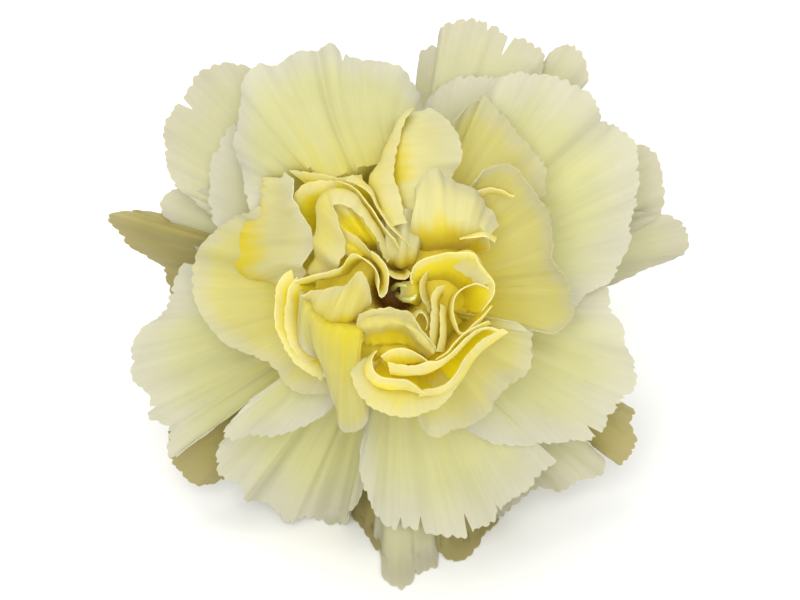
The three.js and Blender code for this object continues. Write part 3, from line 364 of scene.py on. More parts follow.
line = between(BRACT_LINE, BRACT_ROWS)
share = np.linspace(0, 1, BRACT_ROWS)[:, None]
half_width = BRACT_WIDTH / 2 * np.maximum(BRACT_TIP, np.cos(share * math.pi / 2) ** BRACT_POINT)
side = np.linspace(1, -1, BRACT_COLUMNS)[None, :]
for number in range(BRACTS):
    turn = (number + 0.5) / BRACTS * 2 * math.pi + side * half_width / line[:, :1]
    grids = []
    for outward in (BRACT_WALL / 2, -BRACT_WALL / 2):
        radius = line[:, :1] + outward + BRACT_KEEL * (1 - side ** 2) + BRACT_OVERLAP * (number % 2)
        grids.append(about_axis(radius, turn, line[:, 1:]))
    points, faces = blade(*grids)
    bract = mesh_piece(f"bract_{number + 1}", world(points), faces.tolist(), [waxy_skin])
    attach(bract, "root")
    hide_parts("calyx")


# ---- Claws. The narrow feet of all the petals, packed side by side in the calyx. They stand round a
# ---- pit that holds the styles, and are firm, pale green below and yellow where the petals begin.
CLAWS_SIDES = 144
CLAWS_ROWS = 70
CLAWS_CURVE = [(0.3, -8.6), (4.9, -8.6), (5.2, -5.0), (5.3, 0.0), (6.2, 2.5), (8.5, 6.0), (10.2, 9.0),
               (11.0, 12.0), (10.4, 14.4), (8.5, 16.2), (5.5, 17.0), (3.5, 16.8), (2.6, 15.5),
               (2.2, 14.2), (1.8, 13.3), (0.3, 13.0)]    # radius and height
CLAWS = 26
CLAW_GROOVE = 0.28             # depth between two claws
CLAW_GROOVE_FOOT = 4.0         # the radius within which the grooves die away
CLAW_TWIST = 0.1               # how far the grooves turn with height, in radians of their wave
GREEN_TO = 2.0                 # heights at which the green ends and the yellow is full
YELLOW_FROM = 13.0
# Painted shade: the pit is coloured brown, darkest at its middle.
PIT_SHADE_RADII = (2.4, 4.6)         # between which the pit's brown gives way to the yellow

# Packed claws: moist tissue with fine strands, satin, and brown in the pit: painted shade, where no light
# reaches.
claw_tissue, tree = new_material("claw_tissue")
above = node(tree, "ShaderNodeSeparateXYZ", {0: axis_pattern(tree, 1.0, 1.0)})
strands = node(tree, "ShaderNodeTexNoise", {
    "Vector": axis_pattern(tree, 0.5, 8.0), "Scale": 1.0, "Detail": 3.0})
mouth_height = MOUTH @ AXIS    # in the pattern's frame
grown = node(tree, "ShaderNodeMapRange", {
    "Value": above.outputs[2], "From Min": mouth_height + GREEN_TO,
    "From Max": mouth_height + YELLOW_FROM})
tissue = node(tree, "ShaderNodeMix", {
    MIX_FROM: linear("#B9C08A"), MIX_TO: linear("#ECDC40"), MIX_SHARE: grown.outputs[0]},
    data_type="RGBA")
on_strands = node(tree, "ShaderNodeMapRange", {
    "Value": strands.outputs[0], "From Min": 0.45, "From Max": 0.8, "To Max": 0.6})
stranded = node(tree, "ShaderNodeMix", {
    MIX_FROM: tissue.outputs[MIXED], MIX_TO: linear("#E2CE34"), MIX_SHARE: on_strands.outputs[0]},
    data_type="RGBA")
from_mouth = node(tree, "ShaderNodeVectorMath", {
    0: axis_pattern(tree, 1.0, 1.0), 1: (MOUTH @ ACROSS, MOUTH @ UP_FACE, 0)}, operation="SUBTRACT")
level = node(tree, "ShaderNodeVectorMath", {0: from_mouth.outputs[0], 1: (1, 1, 0)},
             operation="MULTIPLY")
from_axis = node(tree, "ShaderNodeVectorMath", {0: level.outputs[0]}, operation="LENGTH")
# Painted shade: brown at the middle of the pit, fading out to the tissue's own colour.
pit_shade_share = node(tree, "ShaderNodeMapRange", {
    "Value": from_axis.outputs["Value"], "From Min": PIT_SHADE_RADII[0], "From Max": PIT_SHADE_RADII[1]},
    interpolation_type="SMOOTHSTEP")
pit_painted_shade = node(tree, "ShaderNodeMix", {
    MIX_FROM: linear("#7A5214"), MIX_TO: stranded.outputs[MIXED], MIX_SHARE: pit_shade_share.outputs[0]},
    data_type="RGBA")
shade = node(tree, "ShaderNodeBsdfPrincipled", {
    "Base Color": pit_painted_shade.outputs[MIXED], "Roughness": 0.55, "IOR": 1.4})
node(tree, "ShaderNodeOutputMaterial", {"Surface": shade.outputs[0]})

angles = circle(CLAWS_SIDES)
rings = []
for radius, height in between(CLAWS_CURVE, CLAWS_ROWS):
    groove = CLAW_GROOVE * (np.abs(np.sin(angles * CLAWS / 2 + CLAW_TWIST * height)) - 1)
    rings.append(about_axis(radius + groove * min(1, radius / CLAW_GROOVE_FOOT), angles, height))
claws = tube_piece("petal_claws", rings, [claw_tissue])
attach(claws, "root")
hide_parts("bloom")


# ---- Guard petals. The outermost petals and the oldest, bent down below the ring, with olive
# ---- undersides. Each petal is one thin, soft blade that widens like a fan from its claw to a finely
# ---- toothed margin, and is held by its claw in the calyx.
CLAW_WIDTH = 2.4
CLAW_LEAN = 0.6                # how far a spreading petal's claw leans out while it rises
GATHER = 0.4                   # the width of a folded petal's claw, as a share of its first row
COLUMN_STEP = 0.3              # between the columns of a petal's mesh, along the margin
ROWS = 22                      # of a petal's mesh, from the claw to the margin
ROW_CROWDING = 1.35            # above 1 the rows stand closer together near the margin
FOOT_WALL = 0.34               # thickness of the blade at the claw
MARGIN_WALL = 0.14             # and at the margin
TOOTH_WIDTH = 1.25
TOOTH_DEPTH = 0.62
LOBE_WIDTH = 5.2               # the margin also steps in and out in longer lobes
LOBE_DEPTH = 0.45
NOTCH_WIDTHS = (0.35, 0.6)     # half a notch, as shares of a tooth's width
NOTCH_DEPTHS = (0.25, 1.0)     # as shares of the full depth
NOTCH_STEPS = (0.6, 1.5)       # from notch to notch, as shares of a tooth's width
NOTCH_ROUNDING = 1.4           # above 1 the teeth between the notches are rounded
SLIT_WIDTH = 0.9
PLEATS = ((9.0, 0.55), (4.6, 0.3), (2.4, 0.12))    # length along the margin, share of the ruffle
PLEAT_UNEVENNESS = 1.2
PLEAT_ONSET = 2.4              # the higher, the nearer to the margin the pleats begin,
FOLD_ONSET = 1.5               # and so with the folds
ROLL_LENGTH = 11.0             # the margin rolls up and down in long waves
ROLL_HEIGHT = 0.25
ROLL_FROM = 0.82               # share of the petal's length at which the roll begins
CREASE_ANGLE = math.radians(60)
VEIN_SPACING = 0.8             # at the margin
STREAK_SPACING = 3.57
CLOUD_SIZE = 9.0
STREAK_REACH = 0.35            # how far streaks carry the yellow, as a share of the length
BORDER_STREAKS = 5.0           # and how far they break up the pale border
BORDER_PALENESS = 0.85


def unit(vectors):
    """Vectors of length one in the same directions."""
    return vectors / np.maximum(1e-9, np.linalg.norm(vectors, axis=-1, keepdims=True))


def normals(sheet):
    """The upward direction at each point of a grid."""
    return unit(np.cross(np.gradient(sheet, axis=0), np.gradient(sheet, axis=1)))


def hermite(f, start, leave, end, arrive):
    """Places at f, from 0 to 1, between two points, with the directions of leaving and arriving."""
    return ((2 * f ** 3 - 3 * f ** 2 + 1) * start + (f ** 3 - 2 * f ** 2 + f) * leave
            + (3 * f ** 2 - 2 * f ** 3) * end + (f ** 3 - f ** 2) * arrive)


def smooth_curve(points, shares):
    """Places on the smooth curve through points, at shares of its length (centripetal Catmull-Rom)."""
    points = np.asarray(points, dtype=float)
    way = np.concatenate([[0], np.cumsum(np.linalg.norm(np.diff(points, axis=0), axis=1))])
    way /= way[-1]
    i = np.clip(np.searchsorted(way, shares, side="right") - 1, 0, len(points) - 2)
    f = ((shares - way[i]) / (way[i + 1] - way[i]))[:, None]
    here, after = points[i], points[i + 1]
    before = np.where((i > 0)[:, None], points[np.maximum(i - 1, 0)], 2 * here - after)
    beyond = np.where((i < len(points) - 2)[:, None], points[np.minimum(i + 2, len(points) - 1)],
                      2 * after - here)
    a, b, c = (np.sqrt(np.maximum(1e-6, np.linalg.norm(q - p, axis=1)))[:, None]
               for p, q in ((before, here), (here, after), (after, beyond)))
    leave = b * ((here - before) / a - (after - before) / (a + b) + (after - here) / b)
    arrive = b * ((after - here) / b - (beyond - here) / (b + c) + (beyond - after) / c)
    return hermite(f, here, leave, after, arrive)


def notched(draw, places, width, depth):
    """How deep a margin is cut at each place along it: uneven notches with rounded teeth between."""
    cut = np.zeros_like(places)
    notch = draw.uniform(0, width)
    while notch < places[-1]:
        half = width * draw.uniform(*NOTCH_WIDTHS)
        deep = depth * draw.uniform(*NOTCH_DEPTHS)
        near = np.clip(1 - np.abs(places - notch) / half, 0, 1)
        cut = np.maximum(cut, deep * near ** NOTCH_ROUNDING)
        notch += width * draw.uniform(*NOTCH_STEPS)
    return cut


def margin_cuts(draw, along, teeth, slits):
    """How deep the teeth, the lobes and the slits cut a margin at each place along it."""
    cut = notched(draw, along, TOOTH_WIDTH, TOOTH_DEPTH * teeth)
    cut += notched(draw, along, LOBE_WIDTH, LOBE_DEPTH * teeth)
    for place, depth in slits:
        near = np.clip(1 - np.abs(along - place * along[-1]) / (SLIT_WIDTH / 2), 0, 1)
        cut = np.maximum(cut, depth * near)
    return cut


def spreading_lines(claw, rim, share, rise, flare, reach):
    """A spreading petal's foot, the two lines that steer it, and its margin. The first line stands
    rise above the foot, and the second back from the margin by a share, reach, of the length."""
    out = unit((rim - claw) * (1, 1, 0))
    middle = unit((rim - claw)[:, :2].mean(axis=0))
    foot = claw + np.outer((share - 0.5) * CLAW_WIDTH, (-middle[1], middle[0], 0))
    tilt = math.radians(flare)
    arriving = out * math.sin(tilt) + (0, 0, math.cos(tilt))
    pull = reach * np.linalg.norm(rim - foot, axis=1)
    return foot, foot + CLAW_LEAN * out + (0, 0, rise), rim - arriving * pull[:, None], rim


def steered(lines, t):
    """Places at t along the columns of a spreading petal, as cubic Bezier curves."""
    foot, rising, arriving, rim = lines
    t = t[..., None]
    return ((1 - t) ** 3 * foot + 3 * (1 - t) ** 2 * t * rising
            + 3 * (1 - t) * t ** 2 * arriving + t ** 3 * rim)


def folded_lines(claw, rim, share, rows):
    """A folded petal's foot, the lines across it and its margin."""
    lines = [smooth_curve(row, share) for row in rows]
    foot = claw + (lines[0] - lines[0].mean(axis=0)) * (GATHER, GATHER, 0)
    return foot, *lines, rim


def through(lines, t):
    """Places at t along the columns of a folded petal, as smooth curves through its lines."""
    lines = np.asarray(lines, dtype=float)
    step = np.linalg.norm(np.diff(lines, axis=0), axis=2)
    way = np.concatenate([np.zeros((1, step.shape[1])), np.cumsum(step, axis=0)]) / step.sum(axis=0)
    leaving = np.empty_like(lines)
    leaving[1:-1] = (lines[2:] - lines[:-2]) / (way[2:] - way[:-2])[..., None]
    leaving[0] = (lines[1] - lines[0]) / (way[1] - way[0])[:, None]
    leaving[-1] = (lines[-1] - lines[-2]) / (way[-1] - way[-2])[:, None]
    sheet = np.zeros(t.shape + (3,))
    for k in range(len(lines) - 1):
        gap = way[k + 1] - way[k]
        f = ((t - way[k]) / gap)[..., None]
        leave, arrive = leaving[k] * gap[:, None], leaving[k + 1] * gap[:, None]
        here = hermite(f, lines[k], leave, lines[k + 1], arrive)
        inside = (t >= way[k]) & (t <= way[k + 1] + 1e-9)
        sheet[inside] = here[inside]
    return sheet


def lifts(draw, share, along, t, ruffle, folds, curl):
    """How far pleats, folds and the roll of the margin lift a petal's sheet at each point."""
    pleat = sum(height * np.sin(2 * math.pi * (along / pitch + draw.random())
                                + PLEAT_UNEVENNESS * np.sin(along / pitch)) for pitch, height in PLEATS)
    lift = ruffle * pleat * t ** PLEAT_ONSET
    for place, height, width in folds:
        lift += height * np.exp(-((share - place) / width) ** 2) * t ** FOLD_ONSET
    roll = np.sin(2 * math.pi * (along / ROLL_LENGTH + draw.random()))
    rolled = np.clip((t - ROLL_FROM) / (1 - ROLL_FROM), 0, 1) ** 2
    return lift + (curl + ROLL_HEIGHT * roll) * rolled


def petal_grids(name, claw, margin, rise=0, flare=100, reach=0.35, rows=(), folds=(), slits=(),
                ruffle=0.012, teeth=1.0, curl=0.0):
    """The upper and under face of a petal, as grids of points, with its mesh's UV values.

    Its columns run from the claw to places on the margin, which is given anticlockwise. A spreading
    petal's flare is the angle from the axis at which they arrive: 0 stands up, 90 lies level and more
    hangs down. A folded petal has rows instead, lines across it between the claw and the margin.
    folds are (place on the margin, height, width) and slits (place on the margin, depth). ruffle is
    the height of the pleats as a share of the length, teeth is how deep the margin is toothed, 1 being
    a guard's, and curl is how far its edge turns up."""
    draw = random.Random(name)
    length = np.linalg.norm(np.diff(np.asarray(margin, dtype=float), axis=0), axis=1).sum()
    share = np.linspace(0, 1, max(8, round(length / COLUMN_STEP)))
    along = share * length
    rim = smooth_curve(margin, share)
    claw = np.asarray(claw, dtype=float)
    if rows:
        lines = folded_lines(claw, rim, share, rows)
        span = np.linalg.norm(np.diff(lines, axis=0), axis=2).sum(axis=0)
    else:
        lines = spreading_lines(claw, rim, share, rise, flare, reach)
        span = np.linalg.norm(rim - lines[0], axis=1)

    # v is a row's share of the way out, and t is the same, drawn in where the margin is cut.
    v = 1 - (1 - np.linspace(0, 1, ROWS)[:, None]) ** ROW_CROWDING
    t = v * (1 - margin_cuts(draw, along, teeth, slits) / span * v ** 2)
    sheet = through(lines, t) if rows else steered(lines, t)
    sheet += lifts(draw, share, along, t, ruffle * span, folds, curl)[..., None] * normals(sheet)
    sheet[..., 2] = np.maximum(sheet[..., 2], floor_height(sheet[..., 1]) + FOOT_WALL)

    wall = FOOT_WALL + (MARGIN_WALL - FOOT_WALL) * t
    half = normals(sheet) * wall[..., None] / 2
    across_and_in = np.stack([np.broadcast_to(along, t.shape), (1 - t) * span], axis=-1)
    grown = np.stack([np.broadcast_to(share, t.shape), np.broadcast_to(v, t.shape)], axis=-1)
    return sheet + half, sheet - half, across_and_in, grown


def petal_piece(name, skins, **form):
    """A petal as a piece of the bloom. skins are the materials of its upper and its under face."""
    upper, under, across_and_in, grown = petal_grids(name, **form)
    points, faces = blade(upper, under)
    sheet_faces = (upper.shape[0] - 1) * (upper.shape[1] - 1)
    skin = np.zeros(len(faces), dtype=int)
    skin[sheet_faces:2 * sheet_faces] = 1
    piece = mesh_piece(name, world(points), faces.tolist(), skins, skin)
    piece.data.set_sharp_from_angle(angle=CREASE_ANGLE)
    corners = np.empty(len(piece.data.loops), dtype=np.int32)
    piece.data.loops.foreach_get("vertex_index", corners)
    for layer, values in (("across_and_in", across_and_in), ("grown", grown)):
        both = np.tile(values.reshape(-1, 2), (2, 1))[corners]
        piece.data.uv_layers.new(name=layer).data.foreach_set("uv", both.ravel())
    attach(piece, "root")
    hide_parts("bloom")


def petal_coordinates(tree, layer):
    """The two values of a petal's UV map, as a Separate XYZ node."""
    uv = node(tree, "ShaderNodeUVMap", uv_map=layer)
    return node(tree, "ShaderNodeSeparateXYZ", {0: uv.outputs[0]})


def fan_noise(tree, fan, spacing, per_length, **look):
    """A noise that runs out along the petal. Its grains are spacing mm wide at the margin, and
    per_length of them follow one another from the claw to the margin."""
    stretched = node(tree, "ShaderNodeMapping", {
        "Vector": fan.outputs[0], "Scale": (1 / spacing, per_length, 1)})
    return node(tree, "ShaderNodeTexNoise", {"Vector": stretched.outputs[0], "Scale": 1.0, **look})


def petal_colour(tree, streaks, outwards, from_margin, colours, yellow, border):
    """The heart's colour fades into the middle's, and the middle's into the margin's, in streaks.
    The deep yellow towards the claw is partly the petal's own colour and partly painted shade of the
    pockets between the folds.
    """
    heart, middle, margin = (linear(code) for code in colours)
    wander = node(tree, "ShaderNodeMath", {0: streaks.outputs[0], 1: 0.5}, operation="SUBTRACT")
    reached = node(tree, "ShaderNodeMath", {0: wander.outputs[0], 1: STREAK_REACH, 2: outwards},
                   operation="MULTIPLY_ADD")
    fading = node(tree, "ShaderNodeMapRange", {
        "Value": reached.outputs[0], "From Min": yellow[0], "From Max": yellow[1]},
        interpolation_type="SMOOTHSTEP")
    body = node(tree, "ShaderNodeMix", {
        MIX_FROM: heart, MIX_TO: middle, MIX_SHARE: fading.outputs[0]}, data_type="RGBA")
    inward = node(tree, "ShaderNodeMath", {0: wander.outputs[0], 1: BORDER_STREAKS, 2: from_margin},
                  operation="MULTIPLY_ADD")
    bordered = node(tree, "ShaderNodeMapRange", {
        "Value": inward.outputs[0], "From Min": 0.2, "From Max": border, "To Min": BORDER_PALENESS,
        "To Max": 0.0}, interpolation_type="SMOOTHSTEP")
    edged = node(tree, "ShaderNodeMix", {
        MIX_FROM: body.outputs[MIXED], MIX_TO: margin, MIX_SHARE: bordered.outputs[0]},
        data_type="RGBA")
    return edged.outputs[MIXED]


def petal_skin(name, *colours, yellow=(0.3, 0.86), border=5.5, shine_through=0.34):
    """The velvety skin of a petal: deep yellow at the heart, paler outwards and nearly white along
    the margin, with fine veins that fan out from the claw. It is thin enough to glow against light.

    yellow gives the shares of the length between which the first colour turns into the second, and
    border the width of the pale margin, the third colour."""
    material, tree = new_material(name)
    across = petal_coordinates(tree, "across_and_in")
    grown = petal_coordinates(tree, "grown")
    fan = node(tree, "ShaderNodeCombineXYZ", {0: across.outputs[0], 1: grown.outputs[1]})
    veins = fan_noise(tree, fan, VEIN_SPACING, per_length=2.2, Detail=4.0, Roughness=0.6)
    streaks = fan_noise(tree, fan, STREAK_SPACING, per_length=1.3, Detail=3.0)
    clouds = node(tree, "ShaderNodeTexNoise", {
        "Vector": node(tree, "ShaderNodeTexCoord").outputs["Object"],
        "Scale": 1 / (CLOUD_SIZE * MM), "Detail": 2.0})
    veined = node(tree, "ShaderNodeMapRange", {
        "Value": veins.outputs[0], "From Min": 0.35, "From Max": 0.7, "To Min": 1.0, "To Max": 0.95})
    clouded = node(tree, "ShaderNodeMapRange", {
        "Value": clouds.outputs[0], "From Min": 0.3, "From Max": 0.7, "To Min": 0.95, "To Max": 1.03})
    light = node(tree, "ShaderNodeMath", {0: veined.outputs[0], 1: clouded.outputs[0]},
                 operation="MULTIPLY")
    hue = petal_colour(tree, streaks, grown.outputs[1], across.outputs[1], colours, yellow, border)
    colour = node(tree, "ShaderNodeVectorMath", {0: hue, "Scale": light.outputs[0]},
                  operation="SCALE")
    relief = node(tree, "ShaderNodeBump", {
        "Height": veins.outputs[0], "Strength": 0.4, "Distance": 0.22 * MM})
    face = node(tree, "ShaderNodeBsdfPrincipled", {
        "Base Color": colour.outputs[0], "Roughness": 0.62, "IOR": 1.4, "Normal": relief.outputs[0],
        "Sheen Weight": 0.15, "Sheen Roughness": 0.4, "Specular IOR Level": 0.3})
    glow = node(tree, "ShaderNodeBsdfTranslucent", {"Color": colour.outputs[0]})
    both = node(tree, "ShaderNodeMixShader", {0: shine_through, 1: face.outputs[0], 2: glow.outputs[0]})
    node(tree, "ShaderNodeOutputMaterial", {"Surface": both.outputs[0]})
    return material


guard_face = petal_skin("guard_petal_face", "#DCD488", "#DBD9AE", "#DBD7BE")
guard_back = petal_skin("guard_petal_back", "#8F7F2E", "#B5A973", "#BFB48E", shine_through=0.25)
GUARD_PETALS = [
    dict(name="guard_left", claw=(-4.5, 1.5, 2.2), rise=6,
        margin=[(-24.8, 14.5, -1), (-27.5, 13.8, -2), (-29.9, 14.4, -3.5), (-31.8, 12.5, -4.5),
                (-31.4, 10.6, -5), (-29, 7.8, -5), (-27, 5.5, -4.5)]),
    dict(name="guard_upper_left", claw=(-3.5, 3.5, 2.2), rise=6,
        slits=[(0.47, 2.6)],
        margin=[(-14, 30.2, -1), (-19, 30.7, -2), (-23, 31.2, -2.5), (-26.8, 29.9, -3),
                (-29.2, 26.3, -3.5), (-30.6, 24.8, -3.5), (-31.7, 21, -3.5), (-31.1, 17, -3),
                (-29.9, 14.3, -2.5), (-27.3, 12.3, -1.5), (-24.8, 10, -1)]),
    dict(name="guard_top", claw=(1.5, 4.8, 2.2), rise=5,
        slits=[(0.36, 3.6), (0.5, 1.2)],
        margin=[(20, 29, -4), (20.3, 32.6, -4.5), (18, 34.4, -5), (15, 35.6, -5.5), (13, 36.7, -5.5),
                (9.5, 37.4, -6), (7, 36.8, -6), (6.2, 33.8, -6.5), (6.6, 31, -6)]),
    dict(name="guard_top_fold", claw=(1, 4.8, 2.2), rise=4, flare=110,
        margin=[(8.5, 32, -8), (6.2, 33.8, -8.5), (4.3, 33.5, -9.5), (3.2, 32.8, -10), (4.3, 30.9, -10),
                (5.3, 28.6, -9.5), (5.5, 25, -8)]),
    dict(name="guard_upper_right", claw=(3, 4, 2.2), rise=5,
        slits=[(0.5, 0.8)],
        margin=[(25, 26.5, -5), (26.4, 29.2, -6), (26, 31.8, -6.5), (24.2, 33.9, -7), (21.8, 33.3, -6.5),
                (20.1, 31, -6), (19, 28, -5)]),
    dict(name="guard_right_upper", claw=(4.8, 1.8, 2.2), rise=5,
        folds=[(0.3, -1.2, 0.06)],
        margin=[(33, 8.5, -4.5), (36.4, 10.8, -5.5), (36.9, 13.8, -6), (36.3, 16.6, -6),
                (35, 19.6, -5.5), (33.2, 20.1, -5), (30.5, 19, -4)]),
    dict(name="guard_right_lower", claw=(5, 0.5, 2.2), rise=5, flare=102,
        margin=[(28, 0, -12), (32, 2, -13), (36.5, 3.8, -13), (39.8, 6, -10.5), (40.3, 8, -8.5),
                (38.3, 10.1, -7), (35, 11, -6), (32, 11, -5)]),
    dict(name="guard_bottom", claw=(0.5, -4.8, 2), rise=4, flare=106,
        slits=[(0.56, 1.1)],
        margin=[(-2.2, -31, -15), (-2.9, -34, -14.5), (-2, -37.2, -13), (-0.9, -39.6, -12),
                (0.7, -40.8, -12), (2.1, -39.8, -12), (3.2, -38.7, -12), (5.4, -37.8, -13),
                (5.6, -35.4, -14), (4.4, -33, -15), (4, -30, -15)]),
    dict(name="guard_bottom_right", claw=(3, -4, 2.2), rise=5, flare=104,
        margin=[(12.5, -31, -16), (14.2, -31.1, -17), (16.5, -29.4, -17), (19, -27.2, -15),
                (22.7, -27.2, -14), (24.6, -26.2, -13), (28.2, -25.2, -12), (28.9, -23.4, -11),
                (27, -20.5, -9)]),
]
for form in GUARD_PETALS:
    petal_piece(skins=(guard_face, guard_back), **form)


# ---- Shaded guard petals. The lowest guards, on the left and below, which lie deep under the ring.
# ---- Their dark olive colour is painted shade.
# Painted shade: a darker, olive skin for the guards that lie in shade.
olive_painted_shade_skin = petal_skin("olive_guard_painted_shade", "#8C7C2C", "#B3A765", "#BDB27C", shine_through=0.25)
SHADED_GUARD_PETALS = [
    dict(name="guard_far_left", claw=(-4.5, 0.8, 2.2), rise=5,
        margin=[(-29, 12, -5), (-31.5, 11, -5.5), (-36, 11.2, -6.5), (-39, 10.6, -7), (-38.8, 9, -8.5),
                (-35.5, 6, -12), (-32.5, 3.6, -14), (-31, 0.5, -15), (-30.5, -3, -15)]),
    dict(name="guard_lower_left", claw=(-4, -3, 2.2), rise=4, flare=110,
        margin=[(-31, -19, -11), (-31, -22, -12.5), (-30, -24.5, -14), (-27.8, -26, -15.5),
                (-24, -26.1, -17), (-21, -25, -18)]),
    dict(name="guard_bottom_under", claw=(-1.5, -4.6, 1.8), rise=3.5, flare=112,
        margin=[(-8, -28, -18), (-6, -30.5, -18), (-4.3, -33.2, -17), (-2.4, -35.2, -17), (0, -36, -17)]),
    dict(name="guard_bottom_right_under", claw=(1.5, -4.8, 2.2), rise=5, flare=108,
        margin=[(4, -32, -12), (5.5, -34.8, -13), (7.2, -36.5, -14), (9, -36.9, -15), (10.8, -35.7, -15),
                (12.6, -33, -17), (14, -31, -18)]),
    dict(name="guard_lower_right_small", claw=(4, -3, 2.2), rise=4, flare=104,
        margin=[(25.5, -19.5, -10), (28.5, -21.8, -11.5), (31, -23.7, -12.5), (32.2, -22.4, -12),
                (33.1, -20.6, -11.5), (32.4, -18, -10.5), (33, -16.2, -10), (30.6, -14.8, -9),
                (28, -14, -8)]),
]
for form in SHADED_GUARD_PETALS:
    petal_piece(skins=(olive_painted_shade_skin, olive_painted_shade_skin), **form)


# ---- Hidden petals. Five plain ones under the ring, at the azimuths that the guards leave free, which
# ---- show from behind only. They are like the guards.
HIDDEN_PETALS = [   # azimuth, radius and height of the margin
    (98, 25.5, -3.0), (36, 25.5, -3.5), (-14, 25.5, -3.0), (238, 20.5, -10.0), (202, 25.5, -6.0),
]
HIDDEN_FAN = (-26, -18, -9, 0, 9, 18, 26)    # degrees from the azimuth to the margin's points
HIDDEN_ROUNDING = 0.09         # mm that the margin draws in for each of those degrees
HIDDEN_WAVE = 0.8              # of the margin in and out
HIDDEN_WAVE_STEP = 2.1         # radians from point to point
HIDDEN_CLAW_RADIUS = 4.6
HIDDEN_CLAW_HEIGHT = 2.4

for number, (azimuth, out, height) in enumerate(HIDDEN_PETALS):
    margin = []
    for k, offset in enumerate(HIDDEN_FAN):
        angle = math.radians(azimuth + offset)
        wave = math.sin(HIDDEN_WAVE_STEP * k + number)
        radius = out - HIDDEN_ROUNDING * abs(offset) + HIDDEN_WAVE * wave
        margin.append((radius * math.cos(angle), radius * math.sin(angle), height))
    angle = math.radians(azimuth)
    claw = (HIDDEN_CLAW_RADIUS * math.cos(angle), HIDDEN_CLAW_RADIUS * math.sin(angle),
            HIDDEN_CLAW_HEIGHT)
    petal_piece(f"hidden_petal_{number + 1}", (guard_face, guard_back), claw=claw, rise=6, flare=98,
                margin=margin)


